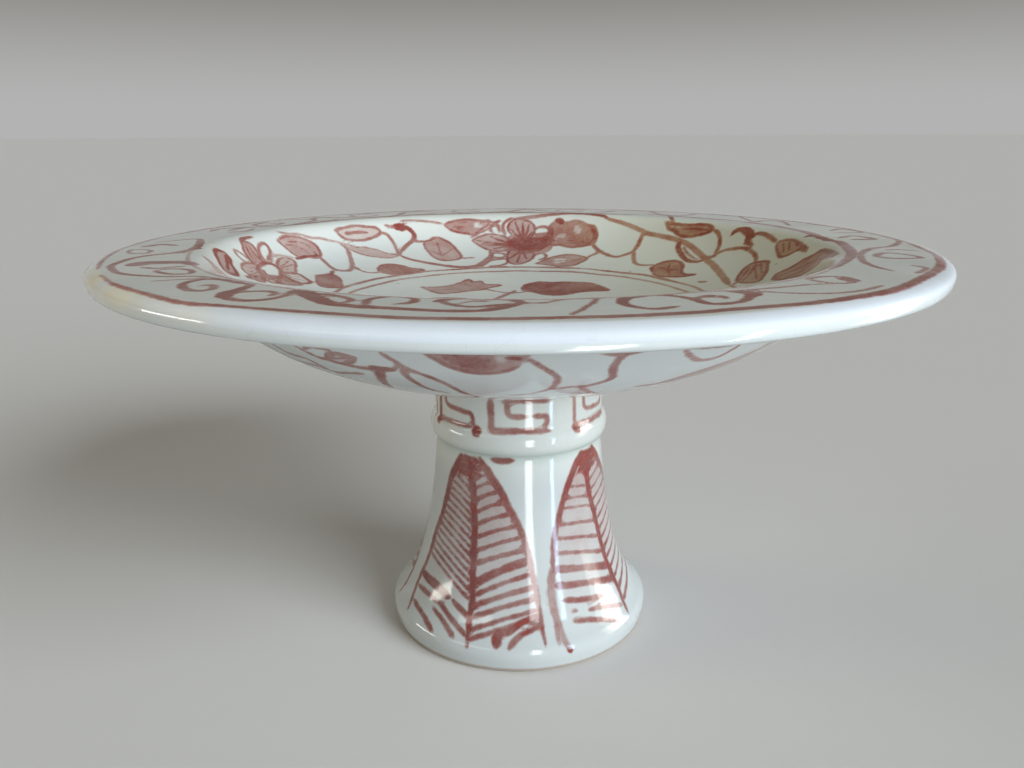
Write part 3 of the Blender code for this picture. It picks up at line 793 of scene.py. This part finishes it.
for places, width, load in (
        ([(252.5, 64.5), (253.5, 63), (256, 61), (258, 58.5), (259.5, 54), (261.5, 49.5)], (1.4, 1.0), 0.8),
        ([(252.5, 63.5), (252, 61), (252.5, 57.5), (254, 54), (256.5, 52.5)], (1.5, 0.9), 0.8),
        ([(294, 66.5), (296.5, 64.5), (299.5, 63), (303, 63), (304.5, 64.5), (305.5, 66)], 1.1, 0.7)):
    stroke("under", places, width, load, coat=1)
leaf("under", (239.5, 63.6), (245.5, 65), 4.2, load=(0.8, 0.7), fill=0.3, comb=(0.15, 0.3))
wash("under", [(256.5, 69.5), (257.5, 67.5), (258.5, 66.5), (260, 65), (261.5, 63.7), (263.5, 63),
               (265.5, 63), (268, 63.5), (269.5, 65), (271, 66), (271.5, 67.5), (272, 69.5)], 0.6)
wash("under", [(262, 69), (262.5, 67.5), (265, 67), (266.5, 66), (267, 64.5), (264.5, 63.5), (262.5, 64),
               (260, 66), (259, 69)], 0.85, over=True)
wash("under", [(267, 67.5), (268.5, 67), (268, 65.8), (267, 66)], 0.25, over=True)
stroke("under", [(256.5, 68.5), (258.5, 66.3), (260.5, 64.5), (263.5, 63.2), (266, 63.2), (268.5, 64),
                 (270.5, 65.7)], (1.0, 1.6, 1.4, 0.9), 0.85)
stroke("under", [(268.5, 66.8), (270.5, 66.6)], 1.6, 1.15, coat=1)
leaf("under", (298, 54), (319, 63.5), 6.5, fill=0.5, comb=(0.3, 0.7))

# The back of the underside: one curl and two leaves, six times
for turn in range(322, 322 + 240, 40):
    stroke("under", [(turn, 52), (turn + 8, 50), (turn + 16, 56), (turn + 22, 64), (turn + 31, 65),
                     (turn + 38, 57), (turn + 40, 52)], (1.3, 1.8, 1.2), 0.8)
    stroke("under", [(turn + 20, 62), (turn + 26, 58), (turn + 30, 60), (turn + 28, 63)], 1.1, 0.7)
    leaf("under", (turn + 16, 56), (turn + 5, 64), 6.4, fill=0.45, comb=(0.4, 0.6))
    leaf("under", (turn + 31, 64), (turn + 28, 52), 6.0, fill=0.4, comb=(0.4, 0.6))
ring("under", 48.0, 0.8, 0.5, wander=0.15, seed=21)


# The painting on the stem: a band of broken key fret above the ridge, and four upright
# plantain leaves below it, each with a midrib and two rows of veins.
for places, width, load in (
        ([(195, 60), (198, 52.8)], 1.2, 0.8),
        ([(207, 60.5), (206, 53)], 1.6, 0.95),
        ([(215, 60), (215.5, 57.2), (231.5, 56.6), (238.5, 56.3), (240.5, 53.4)], 1.1, 0.85),
        ([(206, 53.4), (240, 53.4)], 1.1, 0.8),
        ([(252, 60.2), (252.5, 53.2)], 1.5, 0.75),
        ([(252, 53.2), (272, 53.4), (290, 53)], (1.8, 1.3, 1.2), 0.8),
        ([(260, 60), (275, 60.2), (290, 60)], 1.0, 0.75),
        ([(262.5, 60), (264, 57), (274.5, 56.6)], 1.3, 0.75),
        ([(279.5, 56.7), (288, 56.3), (287, 53.8)], 1.2, 0.8),
        ([(308, 60), (308.8, 53.4)], 0.9, 0.75),
        ([(316.5, 60), (318.5, 56.6), (331, 56), (341, 55.8)], 1.0, 0.75),
        ([(312, 53.4), (324, 53.2), (346, 53.2)], 1.2, 0.75),
        ([(341, 60), (341.5, 55.8)], 1.0, 0.75)):
    stroke("stem", places, width, load)

# The fret at the back, its dark drops at the front, and the dash under the ridge
for turn in (360, 408, 456, 504):
    stroke("stem", [(turn, 60), (turn + 1, 53.3)], 1.4, 0.8)
    stroke("stem", [(turn, 53.4), (turn + 18, 53.4), (turn + 36, 53.2)], 1.3, 0.8)
    stroke("stem", [(turn + 8, 60), (turn + 22, 60.1), (turn + 37, 60)], 1.0, 0.75)
    stroke("stem", [(turn + 11, 60), (turn + 12, 56.8), (turn + 24, 56.6)], 1.2, 0.75)
    stroke("stem", [(turn + 28, 56.6), (turn + 36, 56.4), (turn + 36, 53.6)], 1.1, 0.75)
for place in ((206, 52.9), (242, 52.9), (309, 52.9)):
    stroke("stem", [place, (place[0] + 1, place[1] - 0.3)], 2.4, 1.2)
stroke("stem", [(252, 46.4), (259.5, 46.2), (266.5, 46.4)], (1.0, 1.5, 1.0), 0.95)


# In mm, the heights between which a plantain leaf is washed, and the stem's radius near there
WASH_TOP = 44.5
WASH_FOOT = 9.0
SPAN_RADIUS = 22.0
WASH_STEPS = 12
# Half-way along it, a plantain leaf's vein has this share of its rise, and of its width
VEIN_RISE = 0.62
VEIN_WAIST = 0.8


def between(places, height):
    """The angle of a drawn line at a height."""
    line = np.array(sorted(places, key=lambda place: place[1]))
    return float(np.interp(height, line[:, 1], line[:, 0]))


def plantain_leaf(midrib, left_edge, right_edge, left_veins, right_veins):
    """A stiff upright leaf: a thin wash, two rows of veins that rise to the edges, and a dark tip.

    A vein is the height where it leaves the midrib, the height where it meets the edge, and its
    width. Neighbouring veins go on different coats, so that they stay apart.
    """
    for edge, veins in ((left_edge, left_veins), (right_edge, right_veins)):
        heights = np.linspace(WASH_TOP, WASH_FOOT, WASH_STEPS)
        middles = [((between(midrib, h) + between(edge, h)) / 2, h) for h in heights]
        line = path("stem", middles)
        spans = [math.radians(abs(between(midrib, h) - between(edge, h))) * SPAN_RADIUS / 2 for h in heights]
        halves = np.interp(np.linspace(0, 1, len(line)), np.linspace(0, 1, len(spans)), spans)
        thin = np.interp(np.linspace(0, 1, len(line)), (0.0, 0.5, 1.0), (0.32, 0.2, 0.0))
        lay(leaves_coat, "stem", line, halves, {"load": thin, "vein": 0.0, "slant": 0.0, "fill": 1.0})
        for count, (foot, top, width) in enumerate(veins):
            inner = between(midrib, foot)
            outer = between(edge, top)
            half_way = (inner + (outer - inner) / 2, foot + (top - foot) * VEIN_RISE)
            places = [(inner, foot), half_way, (outer, top)]
            stroke("stem", places, (width, width * VEIN_WAIST, width), (0.95, 0.75, 0.85), coat=count % 2)
    stroke("stem", midrib, (2.4, 1.8, 1.7, 1.6, 1.1), (1.2, 1.0, 1.15, 1.0, 1.15, 0.9))
    stroke("stem", left_edge, (2.2, 1.6, 1.5, 1.1), (1.1, 0.9, 0.85))
    stroke("stem", right_edge, (2.2, 1.7, 1.3, 1.0), (1.0, 0.85, 0.8, 0.9), coat=1)
    tip = midrib[0]
    for drop, wide, coat in ((0.3, 7.0, 0), (1.9, 8.5, 1), (3.4, 8.5, 0)):
        across = [(tip[0] - wide, tip[1] - drop), (tip[0] + wide, tip[1] - drop)]
        stroke("stem", across, 1.9, 1.05, coat=coat)


def even_veins(count, lift, width, top, bottom):
    """A row of veins at even heights, each rising a little more than the one above."""
    feet = np.linspace(top, bottom, count)
    rises = np.linspace(lift[0], lift[1], count)
    return [(foot, foot + rise, width) for foot, rise in zip(feet, rises)]


# The leaf at the front left, and the loose strokes at its foot
plantain_leaf([(236.5, 45.6), (238.5, 41), (240.5, 36.5), (242, 30.5), (243, 24.5), (244, 18.5), (245.5, 14),
               (246, 10), (248, 5.5)],
              [(228.5, 45.5), (224.5, 42.5), (220, 39.5), (217, 35), (213, 29.5), (208.5, 24.5), (206, 18),
               (204, 13.5), (205, 10), (209, 6.5)],
              [(244, 46), (252.5, 42), (258.5, 39), (264.5, 35), (269.5, 31.5), (273, 28), (276, 23.5),
               (278.5, 18), (280, 12.5), (281, 6.5)],
              even_veins(16, (3.0, 6.5), 1.0, 41.5, 13.5),
              [(41, 42.8, 1.1), (38.7, 41.2, 1.1), (36, 39.2, 1.3), (33.3, 36.8, 1.3), (30.5, 34.2, 1.3),
               (27.5, 31.5, 1.3), (24.5, 28.8, 1.3), (21.6, 26, 1.5), (17.3, 23.6, 2.3), (14.8, 20.6, 1.3),
               (12.6, 17.8, 1.5), (10.4, 15.4, 1.4), (8.2, 13, 1.2), (6.6, 11.4, 1.3)])
for number, (places, width, load) in enumerate((
        ([(205.5, 14.2), (220, 14), (231.5, 13)], (1.6, 2.4, 2.0), 1.05),
        ([(246, 10.3), (234.5, 12.6)], (1.6, 1.2), 0.9),
        ([(247, 7), (237.5, 9), (227.5, 11), (217.5, 11.4), (206, 11.3)], 1.2, 0.85),
        ([(240.5, 6.4), (236.5, 7.5), (230.5, 8.7), (224, 9.6)], (1.5, 1.1, 0.9), 0.85),
        ([(229.5, 6), (220.5, 7.5), (209, 8.4)], (1.3, 1.0), 0.8),
        ([(260.5, 6.4), (260.5, 8.4), (265.5, 9), (271, 10.5), (279, 12)], (2.6, 2.0, 1.5, 1.1), 0.95),
        ([(266, 6.2), (269.5, 8), (274.5, 9), (280, 9.8)], (1.6, 1.3, 1.1), 0.9))):
    stroke("stem", places, width, load, coat=1 + number % 2)

# The leaf at the front right, half lost in the light, and the strokes at its foot
plantain_leaf([(321.5, 45.6), (320.5, 40.5), (322, 35), (325.5, 29.5), (327.5, 23.5), (329, 18.5), (331, 14),
               (331, 10.5), (328, 6.5)],
              [(315, 45.8), (307.5, 42), (300.5, 37.5), (295.5, 32.5), (291.5, 28), (290, 24), (289, 20)],
              [(328.5, 46), (338.5, 41.5), (350, 36), (358, 29), (363, 22), (365, 14), (366, 8)],
              [(40.5, 42, 0.9), (37.6, 39, 0.9), (35, 36.6, 0.9), (32.6, 34.4, 0.9), (28.6, 30.8, 1.1),
               (24.6, 27.8, 1.1), (20.6, 24.6, 1.2), (16.9, 21, 2.0), (13.6, 17.4, 1.8)],
              even_veins(14, (2.2, 3.4), 1.0, 41.0, 8.5))
for number, (places, width, load) in enumerate((
        ([(289.5, 22), (287.5, 18), (287, 14), (288, 10.5), (289.5, 7), (291.5, 4.8)],
         (1.9, 2.0, 1.7, 1.2), 0.5),
        ([(288, 10), (287, 6.4)], (1.6, 1.0), 0.6),
        ([(291, 4.9), (291.8, 4.6)], 1.3, 1.1),
        ([(293, 14), (304, 13), (316.5, 12)], (1.4, 1.3), 0.85),
        ([(296.5, 11.6), (299.5, 11.2)], 1.0, 0.7),
        ([(306, 10.6), (314, 10), (327, 8.2)], (0.9, 1.3), 0.85),
        ([(296.5, 9.5), (303.5, 9), (313.5, 7.6), (318.5, 6.4)], (1.3, 1.2, 0.9), 0.85))):
    stroke("stem", places, width, load, coat=1 + number % 2)

# The two leaves at the back, which don't show, are like them and plainer
for middle_turn in (60, 152):
    lean = [(middle_turn - 2, 45.6), (middle_turn, 26), (middle_turn + 2, 6)]
    plantain_leaf(lean,
                  [(middle_turn - 8, 45.6), (middle_turn - 21, 38), (middle_turn - 29, 30),
                   (middle_turn - 35, 20), (middle_turn - 37, 12), (middle_turn - 36, 6.5)],
                  [(middle_turn + 5, 45.6), (middle_turn + 17, 38), (middle_turn + 26, 30),
                   (middle_turn + 33, 20), (middle_turn + 38, 11.5), (middle_turn + 41, 6.5)],
                  even_veins(14, (3.0, 6.0), 1.1, 41.5, 7.0), even_veins(14, (3.0, 6.0), 1.2, 41.5, 6.5))


def keep_coat(name, values):
    """Stores three values at each point of the dish, for the glaze to read."""
    layer = body.attributes.new(name, "FLOAT_VECTOR", "POINT")
    layer.data.foreach_set("vector", np.stack(values, axis=1).astype(np.float32).ravel())


blank = np.zeros(len(spots))
for name, coat in zip(("brushed", "brushed_over", "brushed_last"), line_coats):
    keep_coat(name, (coat["side"], coat["half"], coat["cover"]))
    keep_coat(name + "_load", (coat["load"], blank, blank))
upper_or_under = np.zeros(len(spots))
upper_or_under[AREAS["top"]] = 1.0
upper_or_under[AREAS["under"]] = -1.0
keep_coat("wash", (wash_coat["depth"], wash_coat["load"], upper_or_under))
keep_coat("leaves", (leaves_coat["side"], leaves_coat["half"], leaves_coat["cover"]))
keep_coat("leaves_load", (leaves_coat["load"], leaves_coat["fill"], blank))
keep_coat("leaves_vein", (leaves_coat["along"] * leaves_coat["vein"], leaves_coat["slant"], blank))


# The glaze: thick, glossy and a little uneven over the painting. Light and shade are painted
# into its colour: brighter and bluer on the lip as painted light and reflection, lighter and bluer
# under the bowl as painted light from below, darker and greyer low on the stem as painted shade,
# yellower at the right of the well, where the red is browner, as painted warm shade, and cream at
# the left of the lip as painted warm light. It is greener below the ridge. The ring that the foot
# stands on is bare.
COOL_WHITE = (0.610, 0.650, 0.635, 1.0)
WARM_WHITE = (0.655, 0.680, 0.645, 1.0)
LIP_PAINTED_LIGHT = (0.725, 0.790, 0.870, 1.0)
UNDER_PAINTED_LIGHT = (0.700, 0.760, 0.775, 1.0)
WELL_PAINTED_WARM_SHADE = (0.640, 0.670, 0.585, 1.0)
STEM_PAINTED_SHADE = (0.480, 0.520, 0.530, 1.0)
POOLED_GREEN = (0.40, 0.50, 0.46, 1.0)
CREAM_PAINTED_LIGHT = (0.86, 0.79, 0.54, 1.0)
BROWNER_PAINTED_SHADE = (1.12, 1.22, 0.90, 1.0)
HEAVY_RED = (0.27, 0.035, 0.025, 1.0)
IRON = (0.09, 0.045, 0.03, 1.0)
CRAZING_DIRT = (0.34, 0.30, 0.24, 1.0)
BURNT_CLAY = (0.30, 0.17, 0.08, 1.0)
BARE_CLAY = (0.56, 0.50, 0.42, 1.0)
glaze = bpy.data.materials.new("glaze_over_copper_red")
glaze.use_nodes = True
nodes = glaze.node_tree.nodes
links = glaze.node_tree.links
nodes.clear()


def wire(value, socket):
    """Sets a number, or joins another node's result."""
    if isinstance(value, bpy.types.NodeSocket):
        links.new(value, socket)
    else:
        socket.default_value = value


def calc(operation, first, second=0.0, third=0.0):
    """One step of arithmetic."""
    node = nodes.new("ShaderNodeMath")
    node.operation = operation
    wire(first, node.inputs[0])
    wire(second, node.inputs[1])
    if operation == "MULTIPLY_ADD":
        wire(third, node.inputs[2])
    return node.outputs[0]


def soften(value, low, high):
    """Nought below low, one above high, and smooth between them."""
    node = nodes.new("ShaderNodeMapRange")
    node.interpolation_type = "SMOOTHSTEP"
    wire(value, node.inputs["Value"])
    node.inputs["From Min"].default_value = low
    node.inputs["From Max"].default_value = high
    return node.outputs["Result"]


def blend_colour(share, under, over, way="MIX"):
    """One colour laid over another by a share."""
    node = nodes.new("ShaderNodeMix")
    node.data_type = "RGBA"
    node.blend_type = way
    wire(share, node.inputs[0])
    wire(under, node.inputs[6])
    wire(over, node.inputs[7])
    return node.outputs[2]


def three(name):
    """The three stored values of a coat."""
    node = nodes.new("ShaderNodeAttribute")
    node.attribute_name = name
    parts = nodes.new("ShaderNodeSeparateXYZ")
    links.new(node.outputs["Vector"], parts.inputs[0])
    return parts.outputs[0], parts.outputs[1], parts.outputs[2]


coordinates = nodes.new("ShaderNodeTexCoord").outputs["Object"]
place_parts = nodes.new("ShaderNodeSeparateXYZ")
links.new(coordinates, place_parts.inputs[0])
across_x, across_y, height = place_parts.outputs


def cloud(scale, detail, rough):
    """Soft noise, in cells a metre."""
    node = nodes.new("ShaderNodeTexNoise")
    node.inputs["Scale"].default_value = scale
    node.inputs["Detail"].default_value = detail
    node.inputs["Roughness"].default_value = rough
    links.new(coordinates, node.inputs["Vector"])
    return node.outputs["Fac"]


bleed = calc("MULTIPLY_ADD", cloud(600.0, 2.0, 0.5), 0.6, -0.3)
patches = soften(cloud(170.0, 3.0, 0.6), 0.30, 0.70)
grain = soften(cloud(1400.0, 2.0, 0.6), 0.30, 0.70)


def brushed_lines(name):
    """The ink of one coat of brushed lines, soft at their edges."""
    side, half, cover = three(name)
    load, _, _ = three(name + "_load")
    edge = calc("MINIMUM", calc("SUBTRACT", half, calc("ABSOLUTE", side)), calc("ADD", cover, 0.15))
    return calc("MULTIPLY", soften(calc("ADD", edge, bleed), -0.38, 0.40), load)


line_ink = calc("MAXIMUM", brushed_lines("brushed"), brushed_lines("brushed_over"))
line_ink = calc("MAXIMUM", line_ink, brushed_lines("brushed_last"))
wash_depth, wash_load, facing_up = three("wash")
wash_ink = calc("MULTIPLY", soften(calc("ADD", wash_depth, bleed), -0.35, 0.35), wash_load)

# The leaves and petals: an outline, a midrib, combed veins and a thin wash
side, half, cover = three("leaves")
leaf_load, fill, _ = three("leaves_load")
drawn, away_rate, _ = three("leaves_vein")
from_midrib = calc("ABSOLUTE", side)
leaf_edge = calc("MINIMUM", calc("SUBTRACT", half, from_midrib), calc("ADD", cover, 0.3))
leaf_edge = calc("ADD", leaf_edge, calc("MULTIPLY", bleed, 0.7))
inside = soften(leaf_edge, -0.25, 0.25)
rim_line = calc("SUBTRACT", 1.0, soften(calc("ABSOLUTE", calc("SUBTRACT", leaf_edge, 0.35)), 0.25, 0.75))
midrib = calc("SUBTRACT", 1.0, soften(from_midrib, 0.2, 0.6))
combed = calc("MULTIPLY_ADD", from_midrib, away_rate, drawn)
combed = calc("ADD", combed, calc("MULTIPLY", bleed, 0.5))
veins = soften(calc("ABSOLUTE", calc("SUBTRACT", calc("FRACT", combed), 0.5)), 0.12, 0.34)
drawing = calc("MAXIMUM", calc("MULTIPLY", rim_line, 0.95), calc("MULTIPLY", midrib, 0.9))
drawing = calc("MAXIMUM", drawing, calc("MULTIPLY", veins, 0.8))
drawing = calc("MAXIMUM", drawing, fill)
leaf_ink = calc("MULTIPLY", calc("MULTIPLY", drawing, inside), leaf_load)

# All the ink, uneven in patches and in its grain, and heavier on the flat of the rim
ink = calc("MAXIMUM", calc("MAXIMUM", line_ink, leaf_ink), wash_ink)
ink = calc("MULTIPLY", ink, calc("MULTIPLY_ADD", patches, 0.35, 0.72))
flat_rim = soften(height, 0.0912, 0.0920)
ink = calc("MULTIPLY", ink, calc("MULTIPLY_ADD", flat_rim, 0.30, 1.0))
ink = calc("MULTIPLY", ink, calc("MULTIPLY_ADD", grain, 0.15, 0.92))

# How the copper red looks through the glaze, from a thin stain to a heavy brushload
copper = nodes.new("ShaderNodeValToRGB")
wire(ink, copper.inputs[0])
stops = copper.color_ramp.elements
stops[0].position, stops[0].color = 0.0, (1.0, 1.0, 1.0, 1.0)
stops[1].position, stops[1].color = 1.0, (0.38, 0.105, 0.095, 1.0)
for position, colour in ((0.25, (0.80, 0.63, 0.61, 1.0)), (0.5, (0.62, 0.37, 0.345, 1.0)),
                         (0.75, (0.50, 0.21, 0.19, 1.0))):
    stop = stops.new(position)
    stop.color = colour

# The tones of the glaze from place to place, with painted light and shade laid into them, and the red
# multiplied into them
from_axis = calc("POWER", calc("ADD", calc("POWER", across_x, 2.0), calc("POWER", across_y, 2.0)), 0.5)
tint = soften(cloud(28.0, 2.0, 0.5), 0.30, 0.70)
glaze_colour = blend_colour(tint, COOL_WHITE, WARM_WHITE)
from_groove = calc("ABSOLUTE", calc("SUBTRACT", height, 0.0470))
pooled = calc("SUBTRACT", 1.0, soften(from_groove, 0.0004, 0.0026))
glaze_colour = blend_colour(calc("MULTIPLY", pooled, 0.5), glaze_colour, POOLED_GREEN)
left_end = soften(calc("MULTIPLY_ADD", across_x, -1.0, calc("MULTIPLY", across_y, -0.4)), 0.062, 0.094)
upper_lip = calc("MULTIPLY", soften(height, 0.0878, 0.0912), soften(across_y, 0.020, -0.020))
outer_lip = soften(from_axis, 0.0860, 0.0870)
# Painted light: the face of the lip is painted brighter and bluer, standing in for the light and reflections
# it catches
lip_face_painted_light = calc("MULTIPLY", outer_lip, soften(height, 0.0874, 0.0880))
glaze_colour = blend_colour(calc("MULTIPLY", lip_face_painted_light, 0.95), glaze_colour, LIP_PAINTED_LIGHT)
# Painted light: the glaze facing down under the bowl is painted lighter and bluer, standing in for light
# from below
glaze_colour = blend_colour(soften(facing_up, -0.5, -1.0), glaze_colour, UNDER_PAINTED_LIGHT)
# Painted shade: the lower stem is painted darker and greyer, standing in for the shade the stem sits in
# under the bowl
lower_stem_painted_shade = calc("SUBTRACT", 1.0, soften(height, 0.0380, 0.0475))
glaze_colour = blend_colour(calc("MULTIPLY", lower_stem_painted_shade, 0.9), glaze_colour, STEM_PAINTED_SHADE)
# Painted light: the upper lip at its left end is painted cream in soft patches, standing in for warm light
# from the left
cream_painted_light = calc("MULTIPLY", calc("MULTIPLY", left_end, calc("MULTIPLY", upper_lip, outer_lip)),
             soften(cloud(60.0, 3.0, 0.6), 0.25, 0.60))
glaze_colour = blend_colour(calc("MULTIPLY", cream_painted_light, 0.75), glaze_colour, CREAM_PAINTED_LIGHT)
# Painted light: at the right of the well the glaze is painted yellower and the red browner, standing in for
# the dim, warm light there
right_well_painted_shade = calc("MULTIPLY", soften(across_x, 0.000, 0.042), soften(from_axis, 0.0700, 0.0680))
right_well_painted_shade = calc("MULTIPLY", right_well_painted_shade, soften(facing_up, 0.4, 0.9))
brown_painted_shade = calc("MULTIPLY", right_well_painted_shade, soften(ink, 0.20, 0.70))
browned_painted_shade = blend_colour(1.0, copper.outputs[0], BROWNER_PAINTED_SHADE, "MULTIPLY")
copper_red = blend_colour(brown_painted_shade, copper.outputs[0], browned_painted_shade)
glaze_colour = blend_colour(calc("MULTIPLY", right_well_painted_shade, 0.9), glaze_colour, WELL_PAINTED_WARM_SHADE)
painted = blend_colour(1.0, glaze_colour, copper_red, "MULTIPLY")
heavy = calc("MULTIPLY", soften(ink, 0.72, 0.95), soften(cloud(420.0, 2.0, 0.6), 0.50, 0.62))
painted = blend_colour(calc("MULTIPLY", heavy, 0.55), painted, HEAVY_RED)

# Small iron specks, and a fine net of crazing that has taken a little dirt
specks = nodes.new("ShaderNodeTexVoronoi")
specks.inputs["Scale"].default_value = 130.0
links.new(coordinates, specks.inputs["Vector"])
speck_pick = nodes.new("ShaderNodeSeparateXYZ")
links.new(specks.outputs["Color"], speck_pick.inputs[0])
speck = calc("MULTIPLY", calc("SUBTRACT", 1.0, soften(specks.outputs["Distance"], 0.025, 0.055)),
             soften(speck_pick.outputs[0], 0.90, 0.93))
painted = blend_colour(calc("MULTIPLY", speck, 0.7), painted, IRON)
crazing = nodes.new("ShaderNodeTexVoronoi")
crazing.feature = "DISTANCE_TO_EDGE"
crazing.inputs["Scale"].default_value = 230.0
stretched = nodes.new("ShaderNodeMapping")
stretched.inputs["Scale"].default_value = (1.6, 1.6, 0.5)
links.new(coordinates, stretched.inputs["Vector"])
links.new(stretched.outputs[0], crazing.inputs["Vector"])
crack = calc("SUBTRACT", 1.0, soften(crazing.outputs["Distance"], 0.004, 0.014))
painted = blend_colour(calc("MULTIPLY", crack, 0.07), painted, CRAZING_DIRT)

# The bare ring of the foot, and the brown line where the glaze stops
bare = calc("SUBTRACT", 1.0, soften(height, 0.0003, 0.0007))
from_glaze_end = calc("ABSOLUTE", calc("SUBTRACT", height, 0.0008))
burnt = calc("SUBTRACT", 1.0, soften(from_glaze_end, 0.0002, 0.0008))
painted = blend_colour(calc("MULTIPLY", burnt, 0.55), painted, BURNT_CLAY)
painted = blend_colour(bare, painted, BARE_CLAY)

# The gloss, dull on the bare ring, and the slow waves of a thick glaze
glaze_shader = nodes.new("ShaderNodeBsdfPrincipled")
links.new(painted, glaze_shader.inputs["Base Color"])
wire(calc("MULTIPLY_ADD", bare, 0.6, 0.10), glaze_shader.inputs["Roughness"])
glaze_shader.inputs["IOR"].default_value = 1.5
waves = calc("ADD", cloud(55.0, 1.0, 0.4), calc("MULTIPLY", cloud(260.0, 1.0, 0.4), 0.12))
ripple = nodes.new("ShaderNodeBump")
ripple.inputs["Strength"].default_value = 0.35
ripple.inputs["Distance"].default_value = 0.0012
links.new(waves, ripple.inputs["Height"])
links.new(ripple.outputs[0], glaze_shader.inputs["Normal"])
output = nodes.new("ShaderNodeOutputMaterial")
links.new(glaze_shader.outputs[0], output.inputs[0])
dish.data.materials.clear()
dish.data.materials.append(glaze)


# The floor and the light: a plain pale floor, soft daylight that comes in low from the right
# of the camera, a weak warm lamp at the left, and windows that only show as highlights
# mirrored in the glaze. The room is pale at the horizon and darker overhead.
FLOOR_RADIUS = 30.0
bpy.ops.object.select_all(action="DESELECT")
bpy.ops.mesh.primitive_circle_add(vertices=96, radius=FLOOR_RADIUS, fill_type="NGON")
floor = bpy.context.object
floor.name = "pale_floor"
floor_paint = bpy.data.materials.new("pale_floor")
floor_paint.use_nodes = True
floor_shader = floor_paint.node_tree.nodes["Principled BSDF"]
floor_shader.inputs["Base Color"].default_value = (0.64, 0.635, 0.63, 1.0)
floor_shader.inputs["Roughness"].default_value = 0.9
floor_shader.inputs["Specular IOR Level"].default_value = 0.0
floor.data.materials.append(floor_paint)


def turn_to(light, place, aim):
    """Puts a light at a place and turns it to a point."""
    light.location = place
    facing = np.array(aim) - np.array(place)
    flat = math.hypot(facing[0], facing[1])
    light.rotation_euler = (math.atan2(flat, -facing[2]), 0.0, math.atan2(-facing[0], facing[1]))
    bpy.context.scene.collection.objects.link(light)


def daylight(name, turn, climb, spread, strength, colour):
    """Soft light from far off. Its turn is measured to the right from straight in front."""
    data = bpy.data.lights.new(name, "SUN")
    data.angle = math.radians(spread)
    data.energy = strength
    data.color = colour
    light = bpy.data.objects.new(name, data)
    light.visible_glossy = False
    turn, climb = math.radians(turn), math.radians(climb)
    place = (math.sin(turn) * math.cos(climb), -math.cos(turn) * math.cos(climb), math.sin(climb))
    turn_to(light, place, (0.0, 0.0, 0.0))


def window(name, turn, reach, low, high, width, glow, colour):
    """An upright window at a reach from the axis, seen only mirrored in the glaze."""
    data = bpy.data.lights.new(name, "AREA")
    data.shape = "RECTANGLE"
    data.size, data.size_y = width, high - low
    data.energy = glow * math.pi * width * (high - low)
    data.color = colour
    light = bpy.data.objects.new(name, data)
    light.visible_diffuse = False
    light.visible_camera = False
    turn, middle = math.radians(turn), (low + high) / 2
    place = (math.sin(turn) * reach, -math.cos(turn) * reach, middle)
    turn_to(light, place, (0.0, 0.0, middle))


daylight("day", 50.0, 21.0, 40.0, 4.0, (0.90, 0.96, 1.0))
daylight("warm_side", -95.0, 16.0, 30.0, 0.7, (1.0, 0.88, 0.66))
window("slit", 12.5, 0.13, 0.0, 0.062, 0.020, 10.0, (0.97, 0.99, 1.0))
window("blue_slit", 41.0, 0.16, 0.0, 0.072, 0.012, 14.0, (0.50, 0.72, 1.0))
window("pale_card", 82.0, 0.20, 0.0, 0.12, 0.060, 3.5, (1.0, 0.95, 0.82))
window("side_window", 95.0, 0.60, 0.02, 0.32, 0.22, 9.0, (1.0, 1.0, 0.98))
window("front_window", 26.0, 1.00, 0.24, 0.28, 0.30, 3.0, (0.93, 0.97, 1.0))
window("left_front", -42.0, 1.00, 0.40, 0.52, 0.60, 4.0, (1.0, 0.99, 0.95))
window("left_window", -84.0, 0.60, 0.03, 0.09, 0.24, 10.0, (1.0, 0.98, 0.90))

world = bpy.data.worlds.new("studio")
world.use_nodes = True
room = world.node_tree.nodes
room_links = world.node_tree.links
direction = room.new("ShaderNodeTexCoord")
climb = room.new("ShaderNodeSeparateXYZ")
room_links.new(direction.outputs["Generated"], climb.inputs[0])
above = room.new("ShaderNodeMapRange")
above.interpolation_type = "SMOOTHSTEP"
above.inputs["From Min"].default_value = 0.02
above.inputs["From Max"].default_value = 0.20
room_links.new(climb.outputs[2], above.inputs["Value"])
room_colour = room.new("ShaderNodeMix")
room_colour.data_type = "RGBA"
room_colour.inputs[6].default_value = (0.45, 0.45, 0.45, 1.0)
room_colour.inputs[7].default_value = (0.20, 0.19, 0.165, 1.0)
room_links.new(above.outputs["Result"], room_colour.inputs[0])
room_links.new(room_colour.outputs[2], room["Background"].inputs["Color"])
room["Background"].inputs["Strength"].default_value = 1.0
bpy.context.scene.world = world
bpy.context.scene.view_settings.view_transform = "Standard"
